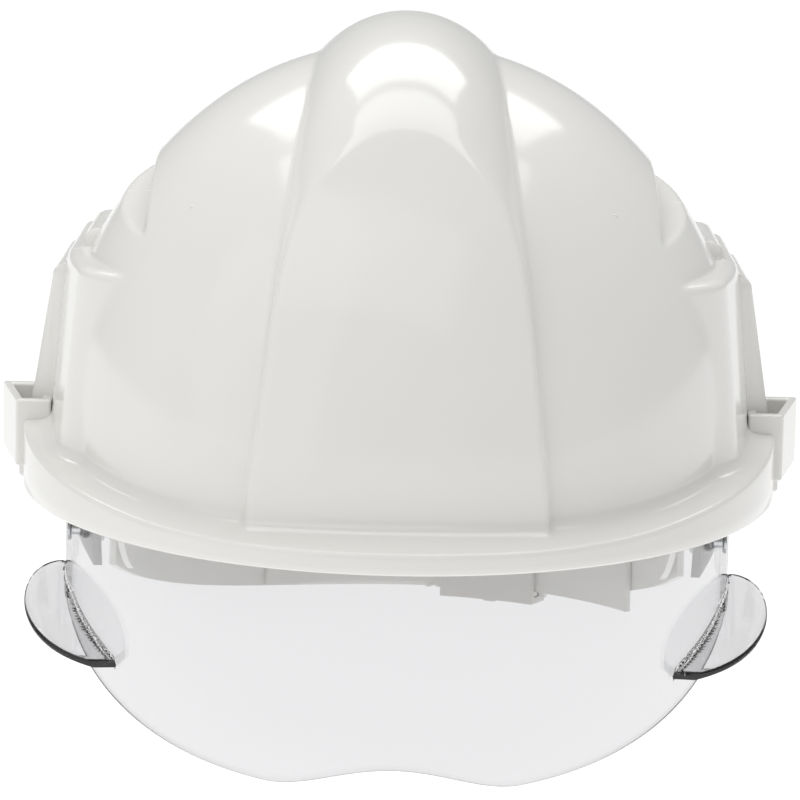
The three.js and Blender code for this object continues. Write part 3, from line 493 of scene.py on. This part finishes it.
def rim_radius(dx, dy):
    """How far the rim, an ellipse with a longer front half, reaches along unit directions in plan."""
    length = np.where(dy < 0, RIM_FRONT, RIM_REAR)
    return ((dx / RIM_HALF_WIDTH) ** 2 + (dy / length) ** 2) ** -0.5


def dome_radius(dx, dy, dz, inset):
    """How far the plain dome reaches from the centre of its base, along unit directions."""
    length = np.where(dy < 0, DOME_FRONT, DOME_REAR) - inset
    total = np.abs(dx / (DOME_HALF_WIDTH - inset)) ** DOME_POWER
    total = total + np.abs(dy / length) ** DOME_POWER
    total = total + np.abs(dz / (DOME_RISE - inset)) ** DOME_POWER
    rise = np.arctan2(dz, np.hypot(dx, dy))
    sideways = dx ** 2 / np.maximum(dx ** 2 + dy ** 2, TINY)
    bulge = np.exp(-((rise - DOME_BULGE_AT) / DOME_BULGE_SPAN) ** 2) * sideways
    return total ** (-1 / DOME_POWER) * (1 + DOME_BULGE * bulge)


def crest_height(dx, dy, dz, dome, inset):
    """How far the crest stands above the dome: a round ridge that a broad front face cuts off."""
    x = np.abs(dx * dome)
    front = dy < 0
    length = np.where(front, DOME_FRONT, DOME_REAR)
    steep = np.maximum(dz / DOME_RISE, TINY) / np.maximum(np.abs(dy) / length, TINY)
    # 0 at the crown, 1 at the dome's base.
    low = 1 - np.arctan(steep ** (DOME_POWER / 2)) / (math.pi / 2)
    half = CREST_HALF_WIDTH + np.where(front, CREST_SPREAD, CREST_SPREAD_REAR) * low ** 1.5
    nose = CREST_NOSE * smoothstep(low / 0.4)
    fade = CREST_FADE_REAR * low ** 1.3
    rise = CREST_RISE + np.where(front, nose, -fade)
    # The ridge's section squares up towards the foot of the front face.
    square = 0.5 * smoothstep(low / 0.5) + 5 * smoothstep((low - 0.45) / 0.28)
    power = 2 + np.where(front, square, 0)
    ridge = rise * (1 - (x / (half - inset)) ** power) - CREST_SINK
    face = (dx / FACE_HALF_WIDTH) ** 2 + (dy / FACE_FRONT) ** 2 + (dz / FACE_RISE) ** 2
    face_height = np.where(front, 1 / np.sqrt(face) - inset - dome, FAR)
    return soft_min(ridge, face_height, CREST_ROUND)


def plane_reach(distance, towards):
    """How far rays go before they meet a plane; towards is how directly each one heads for it."""
    return np.minimum(distance / np.maximum(towards, TINY), FAR)


def groove_radius(dx, dy, dz, inset):
    """Where a ray passes both a groove's upright wall and its floor."""
    wall = plane_reach(GROOVE_WALL - inset, np.abs(dx))
    floor = plane_reach(GROOVE_FLOOR - inset - DOME_BASE, dz - GROOVE_CLIMB * dy)
    return soft_max(wall, floor, GROOVE_FILLET)


class Tier:
    """A step of a pod on the dome's side: a leaning outer face, a round top and an upright rear end.

    The outer face is out from the middle plane at at_height. The planes in closing shut the front end: each
    turns inwards from the outer face by an angle in degrees, and runs some way forward to the next one.
    """

    def __init__(self, out, at_height, lean, top, front, rear, round_top, round_end, closing=((90, 0),)):
        self.out_at_base = out + lean * (at_height - DOME_BASE)
        self.lean = lean
        self.top = top
        self.front = front
        self.rear = rear
        self.round_top = round_top
        self.round_end = round_end
        self.closing = closing

    def radius(self, dx, dy, dz, inset):
        outwards = np.abs(dx) + self.lean * dz
        side = plane_reach(self.out_at_base - inset, outwards)
        top = plane_reach(self.top - DOME_BASE - inset, dz)
        rear = plane_reach(self.rear - inset, dy)
        front = np.full_like(dx, FAR)
        corner_out, corner_front = self.out_at_base, self.front
        for angle, run in self.closing:
            turn = math.radians(angle)
            distance = corner_out * math.cos(turn) + corner_front * math.sin(turn)
            towards = outwards * math.cos(turn) - dy * math.sin(turn)
            front = soft_min(front, plane_reach(distance - inset, towards), self.round_end)
            corner_out -= run * math.tan(turn)
            corner_front += run
        upper = soft_min(side, top, self.round_top)
        return soft_min(upper, np.minimum(front, rear), self.round_end)


TIERS = [
    Tier(out=93.2, at_height=68, lean=0.12, top=73, front=4, rear=44, round_top=7, round_end=6),
    Tier(out=98.0, at_height=63, lean=0.10, top=67.5, front=14, rear=62, round_top=7, round_end=5,
         closing=((12, 38), (45, 12), (90, 0))),
    Tier(out=101.4, at_height=59.6, lean=0.16, top=63, front=8, rear=50, round_top=6, round_end=3),
]


def shell_radius(dx, dy, dz, inset=0.0):
    """How far the shell reaches from the centre of the dome's base, along unit directions."""
    dome = dome_radius(dx, dy, dz, inset)
    crest = crest_height(dx, dy, dz, dome, inset)
    crested = dome + soft_max(crest, np.zeros_like(crest), CREST_ROUND)
    body = soft_min(crested, groove_radius(dx, dy, dz, inset), GROOVE_ROUND)
    for tier in TIERS:
        body = soft_max(body, tier.radius(dx, dy, dz, inset), TIER_ROUND)
    return body


def lip_height(y):
    """The outer lip's height; it falls from the sides and levels out at both ends."""
    length = np.where(y < 0, RIM_FRONT, RIM_REAR)
    end = np.where(y < 0, LIP_FRONT, LIP_REAR)
    share = soft_min(np.abs(y) / length / LIP_LEVEL_FROM, np.ones_like(y), LIP_LEVEL_ROUND)
    return LIP_SIDE + (end - LIP_SIDE) * share


def brim_slope(y):
    """How steeply the brim rises from its lip to the dome."""
    return BRIM_SLOPE + BRIM_SLOPE_GAIN * np.minimum(1, np.abs(y) / RIM_FRONT) ** 2


def quadratic(start, corner, end, t):
    """A point of the curve that leaves start towards corner and reaches end from it."""
    return start * (1 - t) ** 2 + 2 * corner * t * (1 - t) + end * t ** 2


def shell_sheet(turns, rows, inset):
    """One side of the shell as rings of [radius, height], from the rim's foot up to near the crown."""
    outside = inset == 0
    angle = np.arange(turns) * (2 * math.pi / turns)
    cx, cy = np.cos(angle), np.sin(angle)
    wall = shell_radius(cx, cy, np.zeros(turns), inset)
    rim = soft_max(rim_radius(cx, cy) - inset, wall + RIM_MARGIN, RIM_ROUND)
    lip = lip_height(rim * cy) - inset
    slope = brim_slope(rim * cy)
    # The brim's fillet ends where it meets the dome's wall; a few rounds settle its width and height.
    for _ in range(6):
        fillet = np.minimum(BRIM_FILLET, 0.6 * (rim - wall))
        foot = lip + slope * (rim - wall)
        top = foot + fillet * (FILLET_CLIMB if outside else FILLET_CLIMB_INSIDE)
        start = np.arctan2(np.maximum(top - DOME_BASE, 0), wall)
        level = np.cos(start)
        wall = shell_radius(cx * level, cy * level, np.sin(start), inset) * level
    # The foot and the lip's outer face
    edge = LIP_EDGE if outside else LIP_EDGE_INSIDE
    rings = [(rim - FOOT_ROUND * outside, np.zeros(turns)), (rim, np.full(turns, FOOT_ROUND))]
    for share in (0.35, 0.7):
        rings.append((rim, FOOT_ROUND + (lip - edge - FOOT_ROUND) * share))
    # The lip's round upper edge
    for t in np.linspace(0, 1, 6):
        radius = quadratic(rim, rim, rim - edge, t)
        rings.append((radius, quadratic(lip - edge, lip, lip + slope * edge, t)))
    # The brim
    width = rim - edge - wall - fillet
    for share in (0.3, 0.6, 0.85):
        radius = rim - edge - width * share
        rings.append((radius, lip + slope * (rim - radius)))
    # The fillet between the brim and the dome
    for t in np.linspace(0, 1, 9):
        radius = quadratic(wall + fillet, wall, wall, t)
        rings.append((radius, quadratic(lip + slope * (rim - wall - fillet), foot, top, t)))
    # The upright wall below the dome's base, where the fillet ends lower
    gap = np.maximum(DOME_BASE - top, 0)
    for share in (0.33, 0.66):
        rings.append((wall, top + gap * share))
    # The dome
    for i in range(rows):
        rise = start + (math.pi / 2 - start) * i / rows
        level = np.cos(rise)
        radius = shell_radius(cx * level, cy * level, np.sin(rise), inset)
        rings.append((radius * level, DOME_BASE + radius * np.sin(rise)))
    points = [np.stack([r * cx, r * cy, h], 1) for r, h in rings]
    # Straight up, but for a trace of a turn to the rear
    crown = DOME_BASE + shell_radius(np.zeros(1), np.full(1, 1e-6), np.ones(1), inset)[0]
    return np.concatenate(points), len(rings), crown


def make_shell():
    """The outer and inner sheets, joined at the rim's foot and each closed at the crown."""
    turns, rows = ((720, 230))
    outer, outer_rows, outer_crown = shell_sheet(turns, rows, 0.0)
    inner, inner_rows, inner_crown = shell_sheet(turns, 60, WALL)
    count = len(outer)
    vertices = np.concatenate([outer, inner, [[0, 0, outer_crown], [0, 0, inner_crown]]])
    faces = grid_faces(outer_rows, turns)
    faces += grid_faces(inner_rows, turns, start=count, flip=True)
    outer_top, inner_top = count - turns, count + len(inner) - turns
    outer_tip, inner_tip = len(vertices) - 2, len(vertices) - 1
    for j in range(turns):
        k = (j + 1) % turns
        faces.append((k, j, count + j, count + k))
        faces.append((outer_top + j, outer_top + k, outer_tip))
        faces.append((inner_top + k, inner_top + j, inner_tip))
    shell = mesh_object("shell_body", vertices, faces)
    cleaned(shell, 0.004)
    settle(shell, "shell", "shell", "shell")


make_shell()

# ---- Slot housings and harness sockets, which are moulded with the shell ----


def lofted(name, loops):
    """A solid through closed loops of points, which all have the same count, with a cap at each end."""
    loops = np.asarray(loops, float)
    rows, columns = loops.shape[:2]
    last = (rows - 1) * columns
    faces = grid_faces(rows, columns)
    faces.append(tuple(range(columns))[::-1])
    faces.append(tuple(range(last, last + columns)))
    obj = mesh_object(name, loops.reshape(-1, 3), faces)
    cleaned(obj, 0.001)
    return obj


def prism(name, outline, low, high):
    """An upright solid over an outline in plan."""
    return lofted(name, [[(x, y, z) for x, y in outline] for z in (low, high)])


def bar(name, radius, low, high, centre, sides=48):
    """A round bar along X."""
    turns = [2 * math.pi * i / sides for i in range(sides)]
    circle = [(centre[0] + radius * math.cos(t), centre[1] + radius * math.sin(t)) for t in turns]
    return lofted(name, [[(x, y, z) for y, z in circle] for x in (low, high)])


def combined(obj, other, operation):
    """Joins another solid to a solid, or cuts it away, and removes the other."""
    boolean = obj.modifiers.new("boolean", "BOOLEAN")
    boolean.operation = operation
    boolean.solver = "EXACT"
    boolean.object = other
    apply_modifiers(obj)
    bpy.data.objects.remove(other)


HOUSING_INNER = 101
HOUSING_FRONT = 16
HOUSING_REAR = 18
HOUSING_LOW = 4.5
HOUSING_HIGH = 24
SLOT_LENGTH = 26
SLOT_WIDTH = 6
CUT_PAST = 2


def housing_face(y):
    """How far out a slot housing's face is; it stands further out towards the rear."""
    share = (y + HOUSING_FRONT) / (HOUSING_FRONT + HOUSING_REAR)
    return RIM_HALF_WIDTH + HOUSING_PROUD + HOUSING_SPLAY * share


def make_housing(side):
    """The block in the rim that an accessory's blade enters, open above and below."""
    name = "slot_housing_right" if side > 0 else "slot_housing_left"
    front, rear = -HOUSING_FRONT, HOUSING_REAR
    outline = [
        (HOUSING_INNER, front), (housing_face(front), front),
        (housing_face(rear), rear), (HOUSING_INNER, rear),
    ]
    housing = prism(name, [(side * x, y) for x, y in outline], HOUSING_LOW, HOUSING_HIGH)
    start = (HOUSING_REAR - HOUSING_FRONT) / 2 - SLOT_LENGTH / 2
    end = start + SLOT_LENGTH
    slot = [(housing_face(y) - WALL - inward, y)
            for y, inward in ((start, 0), (end, 0), (end, SLOT_WIDTH), (start, SLOT_WIDTH))]
    low, high = HOUSING_LOW - CUT_PAST, HOUSING_HIGH + CUT_PAST
    cutter = prism("cutter", [(side * x, y) for x, y in slot], low, high)
    combined(housing, cutter, "DIFFERENCE")
    cleaned(housing, 0.002)
    rounded(housing, 0.9, 3)
    settle(housing, "shell", "shell", "shell")


HARNESS_Y = 22
SIDE_STRAP_Y = 26
STRAP_YAW = 63
SOCKET_WIDTH = 22
SOCKET_DEPTH = 6.5
SOCKET_HEIGHT = 12
LUG_WIDTH = 14
LUG_THICKNESS = 2.6
LUG_HEIGHT = 9.5
CLEARANCE = 0.3
FRONT_SOCKET_LOW = 76
REAR_SOCKET_LOW = 7
# Each clip's name, its direction in degrees, where its strap crosses the middle line, its socket's lowest z.
CLIPS = [
    ("front_left", 180 + STRAP_YAW, HARNESS_Y, FRONT_SOCKET_LOW),
    ("front_right", -STRAP_YAW, HARNESS_Y, FRONT_SOCKET_LOW),
    ("rear_left", 180 - STRAP_YAW, HARNESS_Y, REAR_SOCKET_LOW),
    ("rear_right", STRAP_YAW, HARNESS_Y, REAR_SOCKET_LOW),
    ("side_left", 180, SIDE_STRAP_Y, REAR_SOCKET_LOW),
    ("side_right", 0, SIDE_STRAP_Y, REAR_SOCKET_LOW),
]


def aimed(points, yaw, y):
    """Turns points drawn facing +X to a direction in plan, about a place on the middle line."""
    c, s = math.cos(math.radians(yaw)), math.sin(math.radians(yaw))
    return [(px * c - py * s, y + px * s + py * c, pz) for px, py, pz in points]


def aimed_block(name, low, high, yaw, y):
    """A box drawn facing +X between two corners, then turned."""
    plan = [(low[0], low[1]), (high[0], low[1]), (high[0], high[1]), (low[0], high[1])]
    return lofted(name, [aimed([(a, b, z) for a, b in plan], yaw, y) for z in (low[2], high[2])])


def make_socket(name, yaw, y, low):
    """A socket on the shell's wall, around its clip's lug."""
    c, s = math.cos(math.radians(yaw)), math.sin(math.radians(yaw))
    clip = frame["nodes"]["harness_clip_" + name]
    corners = [clip.matrix_world @ v.co / MM for v in clip.data.vertices]
    middle = max(p.x * c + (p.y - y) * s for p in corners if p.z > low) - LUG_THICKNESS / 2
    half, deep = SOCKET_WIDTH / 2, SOCKET_DEPTH / 2
    wide = LUG_WIDTH / 2 + CLEARANCE
    thick = LUG_THICKNESS / 2 + CLEARANCE
    # The socket's outer side is sunk into the shell's wall.
    outer = middle + deep + WALL * 0.3
    block_low = (middle - deep, -half, low)
    block_high = (outer, half, low + SOCKET_HEIGHT)
    socket = aimed_block("harness_socket_" + name, block_low, block_high, yaw, y)
    slot_low = (middle - thick, -wide, low - CUT_PAST / 2)
    slot_high = (middle + thick, wide, low + LUG_HEIGHT + CLEARANCE)
    combined(socket, aimed_block("cutter", slot_low, slot_high, yaw, y), "DIFFERENCE")
    cleaned(socket, 0.002)
    rounded(socket, 0.5)
    settle(socket, "shell", "shell", "shell")


for side in (1, -1):
    make_housing(side)
for clip in CLIPS:
    make_socket(*clip)

# ---- Visor lens ----

LENS_THICKNESS = 2.2
LENS_RADIUS = 115.5
LENS_POWER = 1.55
LENS_BOTTOM = -75
LENS_TOP = 8
LENS_REAR = 7
# From the bracket's outer face in to the lens's: the bracket's thickness and a gap of 0.3 mm.
LENS_INSET = 3.9
LENS_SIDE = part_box("visor_bracket_right")[1].x / MM - LENS_INSET
HUB_RADIUS = 12
HUB_HOLE = 4.3
CHIN_POWER = 2.2
LOBE_X = 36
NOTCH = 9
WING_BACK = 12
WING_FRONT = 54
WING_REACH = 15
WING_THICKNESS = 2
WING_SLOPE = math.tan(math.radians(26))
WING_Z = -24
EDGE_ROUND = 0.6


def lens_plan(turn, z, inset):
    """A point of the lens in plan; turn runs from 0 at the right, over the front, to pi at the left."""
    side = LENS_SIDE - inset
    front = np.sqrt((LENS_RADIUS - inset) ** 2 - (z - PIVOT.z) ** 2) - HUB_RADIUS
    across, along = math.cos(turn), math.sin(turn)
    power = LENS_POWER + (2 - LENS_POWER) * along ** 2
    reach = ((abs(across) / side) ** power + (abs(along) / front) ** power) ** (-1 / power)
    return reach * across, -HUB_RADIUS - reach * along


def lens_edge(x):
    """The lens's lower edge: a wide chin with a notch for the nose in its middle."""
    across = min(1.0, abs(x) / LENS_SIDE)
    side = WING_Z - WING_THICKNESS
    chin = side + (LENS_BOTTOM - side) * (1 - across ** CHIN_POWER) ** (1 / CHIN_POWER)
    return chin + NOTCH * max(0.0, 1 - (x / LOBE_X) ** 2) ** 2


def lens_columns():
    """The lens's columns from their rear end to the front, each as a place, its lowest and its highest z."""
    rear = []
    for turn in np.linspace(0.13, math.acos(LENS_REAR / HUB_RADIUS), 10):
        y, half = HUB_RADIUS * math.cos(turn), HUB_RADIUS * math.sin(turn)
        rear.append((y, PIVOT.z - half, PIVOT.z + half))
    for y in np.linspace(LENS_REAR - 0.1, -HUB_RADIUS + 0.2, 24):
        top = PIVOT.z + math.sqrt(max(0, HUB_RADIUS ** 2 - y ** 2))
        rear.append((y, WING_Z - WING_THICKNESS, max(top, LENS_TOP)))
    front = []
    for turn in np.linspace(0.004, math.pi - 0.004, 180):
        low = WING_Z
        for _ in range(6):
            low = lens_edge(lens_plan(turn, low, 0)[0])
        front.append((turn, low, LENS_TOP))
    return rear, front


def lens_loop(point, low, high, rows=26):
    """A column's closed section: up the outside, over the rounded rim, down the inside and back."""
    heights = np.linspace(low + EDGE_ROUND, high - EDGE_ROUND, rows)
    inner = LENS_THICKNESS - EDGE_ROUND * 0.7
    loop = [point(z, 0) for z in heights]
    loop += [point(high - 0.15, EDGE_ROUND * 0.35), point(high, EDGE_ROUND), point(high, inner)]
    loop += [point(z, LENS_THICKNESS) for z in heights[::-1]]
    loop += [point(low, inner), point(low, EDGE_ROUND), point(low + 0.15, EDGE_ROUND * 0.35)]
    return loop


def make_wing(side):
    """The plate beside the lens that the visor is lifted by, from the middle of the lens's wall outwards."""
    # The outer edge is one curve from the wing's rear to its front, drawn out sideways by its middle corners.
    corners = np.array([
        (LENS_SIDE, -WING_BACK),
        (LENS_SIDE + WING_REACH, 2 - WING_BACK),
        (LENS_SIDE + WING_REACH + 2, 8 - WING_FRONT),
        (LENS_SIDE - 13, -WING_FRONT),
    ], float)
    loops = []
    for t in np.linspace(0.02, 0.98, 40):
        weights = np.array([(1 - t) ** 3, 3 * t * (1 - t) ** 2, 3 * t * t * (1 - t), t ** 3])
        outer = weights @ corners
        inner_y = -WING_BACK + (WING_BACK - WING_FRONT) * t
        drop = WING_Z + WING_SLOPE * (inner_y + WING_BACK)
        # The place in the middle of the lens's wall that has this y
        turn = 0.0
        for _ in range(30):
            x, y = lens_plan(turn, drop, LENS_THICKNESS / 2)
            turn = max(0.0, turn + (y - inner_y) * 0.009)
        inner = np.array([x, min(inner_y, y) if turn > 0 else inner_y])
        top = []
        for share, sink in ((0, 0), (0.25, 0), (0.5, 0), (0.75, 0), (0.95, 0), (0.99, 0.25), (1, 0.8)):
            top.append((*(inner + (outer - inner) * share), sink))
        # Both faces of the plate, which is rounded off at its outer edge
        loop = [(x, y, -sink) for x, y, sink in top]
        loop += [(x, y, sink - WING_THICKNESS) for x, y, sink in top[::-1]]
        loops.append([(side * x, y, WING_Z + WING_SLOPE * (y + WING_BACK) + z) for x, y, z in loop])
    return lofted("wing", loops)


def make_lens():
    """The lens with its wings and a hole in each hub for the pivot."""
    rear, front = lens_columns()
    loops = []
    for y, low, high in rear:
        loops.append(lens_loop(lambda z, inset: (LENS_SIDE - inset, y, z), low, high))
    for turn, low, high in front:
        loops.append(lens_loop(lambda z, inset: (*lens_plan(turn, z, inset), z), low, high))
    for y, low, high in rear[::-1]:
        loops.append(lens_loop(lambda z, inset: (inset - LENS_SIDE, y, z), low, high))
    lens = lofted("lens", loops)
    for side in (1, -1):
        combined(lens, make_wing(side), "UNION")
    hole = bar("cutter", HUB_HOLE, -2 * LENS_SIDE, 2 * LENS_SIDE, (0, PIVOT.z))
    combined(lens, hole, "DIFFERENCE")
    cleaned(lens, 0.002)
    shade_smooth(lens.data)
    evenly_shaded(lens)
    settle(lens, "visor", "visor", "visor_lens")


make_lens()

# ---- Webbing ----

STRAP_WIDTH = 20
STRAP_THICKNESS = 1.2
STRAP_POWER = 2.2
STRAP_SEAT = 6
# The radius and the top of each kind of clip, where a strap's curve ends.
FRONT_END, REAR_END, SIDE_END = (97, 56), (80, 32), (86, 34)


def strap_line(ends, high, steps=40):
    """A strap's long section, as pairs of outer and inner points from clip to clip over the crown."""
    pairs = []
    for sign, (radius, top) in ((-1, ends[0]), (1, ends[1])):
        half = []
        for i in range(steps + 1):
            turn = math.pi / 2 * i / steps
            pair = []
            for inset in (0, STRAP_THICKNESS):
                outer = radius + STRAP_THICKNESS / 2 - inset
                distance = outer * math.sin(turn) ** (2 / STRAP_POWER)
                share = max(0.0, 1 - (distance / outer) ** STRAP_POWER) ** (1 / STRAP_POWER)
                pair.append((sign * distance, top + (high - inset - top) * share))
            half.append(pair)
        # The strap's straight end, down in its clip
        half.append([(sign * (radius + STRAP_THICKNESS / 2 - inset), top - STRAP_SEAT)
                     for inset in (0, STRAP_THICKNESS)])
        pairs += half[::-1] if sign < 0 else half[1:]
    return pairs


# A strap's section with its selvedges rounded: the place across its width, from -1 to 1, and the share of the
# way from its outer face to its inner one.
STRAP_SECTION = [
    (-1, 0.5), (-0.97, 0.08), (-0.9, 0), (-0.3, 0), (0.3, 0), (0.9, 0), (0.97, 0.08),
    (1, 0.5), (0.97, 0.92), (0.9, 1), (0.3, 1), (-0.3, 1), (-0.9, 1), (-0.97, 0.92),
]


def make_strap(node, ends, yaw, y):
    """One crown strap, between two of the clips that face each other."""
    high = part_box(node)[1].z / MM
    loops = []
    for outer, inner in strap_line(ends, high):
        loop = []
        for across, share in STRAP_SECTION:
            x = outer[0] + (inner[0] - outer[0]) * share
            z = outer[1] + (inner[1] - outer[1]) * share
            loop.append((x, across * STRAP_WIDTH / 2, z))
        loops.append(aimed(loop, yaw, y))
    strap = lofted(node + "_webbing", loops)
    evenly_shaded(strap)
    settle(strap, "shell", "webbing", node)


# A stitch's rings, each as its place along the stitch and its share of the thread's radius.
STITCH_RINGS = [(-0.5, 0.35), (-0.3, 0.9), (0, 1.0), (0.3, 0.9), (0.5, 0.35)]
STITCH_SIDES = 6


def stitch_mesh(name, spots, length, radius):
    """Thread stitches, each a small round grain, from the place, the seam's direction and up for each one."""
    vertices = []
    faces = []
    for place, along, up in spots:
        place = Vector(place)
        along = Vector(along).normalized()
        up = Vector(up).normalized()
        side = along.cross(up)
        start = len(vertices)
        for share, size in STITCH_RINGS:
            for i in range(STITCH_SIDES):
                turn = 2 * math.pi * i / STITCH_SIDES
                ring = side * math.cos(turn) + up * math.sin(turn)
                vertices.append(place + along * length * share + ring * radius * size)
        last = len(vertices) - STITCH_SIDES
        faces += grid_faces(len(STITCH_RINGS), STITCH_SIDES, start)
        faces.append(tuple(range(start, start + STITCH_SIDES))[::-1])
        faces.append(tuple(range(last, last + STITCH_SIDES)))
    obj = mesh_object(name, vertices, faces)
    cleaned(obj, 0.001)
    return obj


def make_patch():
    """The round sewn patch over the crossing, slightly crowned, with two rings of stitches."""
    radius = (patch_high.x - patch_low.x) / 2
    low, high = patch_low.z, patch_high.z
    sides = 96
    rim = [(0.0, high), (0.5, high), (0.9, high - 0.1), (0.985, high - 0.35), (1.0, (low + high) / 2),
           (0.985, low + 0.3), (0.9, low), (0.0, low)]

    def around(share, turn, z):
        return radius * share * math.cos(turn), HARNESS_Y + radius * share * math.sin(turn), z

    turns = [2 * math.pi * i / sides for i in range(sides)]
    vertices = [around(share, turn, z) for share, z in rim for turn in turns]
    patch = mesh_object("crown_patch_webbing", vertices, grid_faces(len(rim), sides))
    cleaned(patch, 0.01)
    settle(patch, "shell", "webbing", "crown_patch")
    spots = []
    for share, count in ((0.86, 44), (0.78, 40)):
        for i in range(count):
            turn = 2 * math.pi * i / count
            seam = (-math.sin(turn), math.cos(turn), 0)
            spots.append((around(share, turn, high - 0.1), seam, (0, 0, 1)))
    stitches = stitch_mesh("crown_patch_stitches", spots, 2.6, 0.32)
    settle(stitches, "shell", "webbing", "crown_patch")


make_strap("crown_strap_side", (SIDE_END, SIDE_END), 0, SIDE_STRAP_Y)
make_strap("crown_strap_left", (REAR_END, FRONT_END), -STRAP_YAW, HARNESS_Y)
make_strap("crown_strap_right", (FRONT_END, REAR_END), STRAP_YAW, HARNESS_Y)
make_patch()

# ---- Sweatband ----

BAND_HALF_WIDTH = 82
BAND_FRONT = 99
BAND_PLAN_POWER = 2.1
SWEAT_END = sweat_high.y
SWEAT_THICKNESS = 3.5
PUFF_PRESSURE = 4.0
PUFF_FRAMES = 20
PUFF_CAP = 1.1
SEAM_WIDTH = 1.2
STITCH_INSET = 3.2


def band_point(turn, inward, z):
    """A point of the headband's oval set in by some depth, with turn 0 at the right and pi at the left."""
    c, s = math.cos(turn), math.sin(turn)
    side, front = BAND_HALF_WIDTH - inward, BAND_FRONT - inward
    total = (abs(c) / side) ** BAND_PLAN_POWER + (abs(s) / front) ** BAND_PLAN_POWER
    reach = total ** (-1 / BAND_PLAN_POWER)
    return reach * c, -reach * s, z


def puffed(obj, still):
    """Inflates a closed cloth a little; the points in still don't move and none moves past the cap."""
    group = obj.vertex_groups.new(name="still")
    group.add(still, 1.0, "REPLACE")
    before = np.array([v.co for v in obj.data.vertices])
    cloth = obj.modifiers.new("cloth", "CLOTH")
    cloth.settings.use_pressure = True
    cloth.settings.uniform_pressure_force = PUFF_PRESSURE
    cloth.settings.quality = 5
    cloth.settings.mass = 0.3
    cloth.settings.tension_stiffness = 15
    cloth.settings.compression_stiffness = 15
    cloth.settings.bending_stiffness = 0.5
    cloth.settings.vertex_group_mass = "still"
    cloth.settings.effector_weights.gravity = 0
    cloth.point_cache.frame_start = 1
    cloth.point_cache.frame_end = PUFF_FRAMES
    for number in range(1, PUFF_FRAMES + 1):
        bpy.context.scene.frame_set(number)
    depsgraph = bpy.context.evaluated_depsgraph_get()
    evaluated = obj.evaluated_get(depsgraph)
    after = np.array([v.co for v in evaluated.data.vertices])
    obj.modifiers.clear()
    bpy.context.scene.frame_set(1)
    moved = after - before
    far = np.linalg.norm(moved, axis=1, keepdims=True)
    held = before + moved * np.minimum(1, PUFF_CAP * MM / np.maximum(far, TINY))
    obj.data.vertices.foreach_set("co", held.reshape(-1))
    obj.data.update()


def make_sweatband():
    """A padded band of cloth: flat against the headband, crowned towards the head, with a sewn edge."""
    low, high = sweat_low.z, sweat_high.z
    middle, half = (low + high) / 2, (high - low) / 2 - 0.4
    # The turn at which the band's outer face ends, 1 mm past the CAD sweatband's end
    start_turn = 0.98 * math.asin(-SWEAT_END / BAND_FRONT)
    for _ in range(40):
        start_turn += (band_point(start_turn, CLEARANCE, 0)[1] - SWEAT_END - 1) * 0.002
    count = 220
    turns = np.linspace(start_turn, math.pi - start_turn, count)
    loops = []
    around = 28
    for index, turn in enumerate(turns):
        # The padding thins out over the last few sections at each end.
        plump = 0.35 + 0.65 * float(smoothstep(min(index, count - 1 - index) / 6))
        loop = []
        for i in range(around):
            t = 2 * math.pi * i / around
            up = math.copysign(abs(math.cos(t)) ** 0.55, math.cos(t))
            across = math.sin(t)
            inward = CLEARANCE + 0.55 + (SWEAT_THICKNESS - 1.5) * plump * max(0.0, across) ** 0.7
            inward -= 0.45 * max(0.0, -across) ** 0.4
            loop.append(band_point(turn, inward, middle + up * half))
        loops.append(loop)
    band = lofted("sweatband_pad", loops)
    points = np.array([v.co for v in band.data.vertices]) / MM
    # The side against the headband and the sewn edges stay where they are.
    across = (np.abs(points[:, 0]) / BAND_HALF_WIDTH) ** BAND_PLAN_POWER
    along = (np.abs(points[:, 1]) / BAND_FRONT) ** BAND_PLAN_POWER
    against = 1 - across - along < 0.016
    sewn = np.abs(points[:, 2] - middle) > half - SEAM_WIDTH
    still = [int(i) for i in np.nonzero(against | sewn)[0]]
    puffed(band, still)
    smooth = band.modifiers.new("smooth", "SUBSURF")
    smooth.levels = smooth.render_levels = 1
    apply_modifiers(band)
    settle(band, "shell", "foam", "sweatband")
    spots = []
    inward = CLEARANCE + 2.9
    for side in (-1, 1):
        z = middle + side * (half - STITCH_INSET)
        for turn in np.linspace(start_turn + 0.04, math.pi - start_turn - 0.04, 96):
            place = Vector(band_point(turn, inward, z))
            ahead = Vector(band_point(turn + 0.01, inward, z))
            spots.append((place, ahead - place, (-place.x, -place.y, 0)))
    stitches = stitch_mesh("sweatband_stitches", spots, 2.2, 0.3)
    settle(stitches, "shell", "foam", "sweatband")


make_sweatband()

# ---- CAD nodes with rounded edges ----


def refined(node, width):
    """A copy of a CAD node's shape with merged points, clean flats and rounded edges."""
    source = frame["nodes"][node]
    mesh = source.data.copy()
    bm = bmesh.new()
    bm.from_mesh(mesh)
    bmesh.ops.remove_doubles(bm, verts=bm.verts, dist=0.004 * MM)
    bmesh.ops.dissolve_limit(bm, angle_limit=math.radians(0.6), verts=bm.verts, edges=bm.edges)
    bmesh.ops.recalc_face_normals(bm, faces=bm.faces)
    bm.to_mesh(mesh)
    bm.free()
    obj = link_new(node + "_piece", mesh)
    rounded(obj, width)
    settle(obj, source["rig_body"], SLOT_OF[node], node)


# The round of the edges of the pieces that keep their CAD shape, by their material slot.
ROUNDING = {"band": 0.45, "buckle": 0.5, "clip": 0.5, "bracket": 0.4, "steel": 0.25}
for node in sorted(frame["nodes"]):
    if SLOT_OF[node] in ROUNDING:
        refined(node, ROUNDING[SLOT_OF[node]])
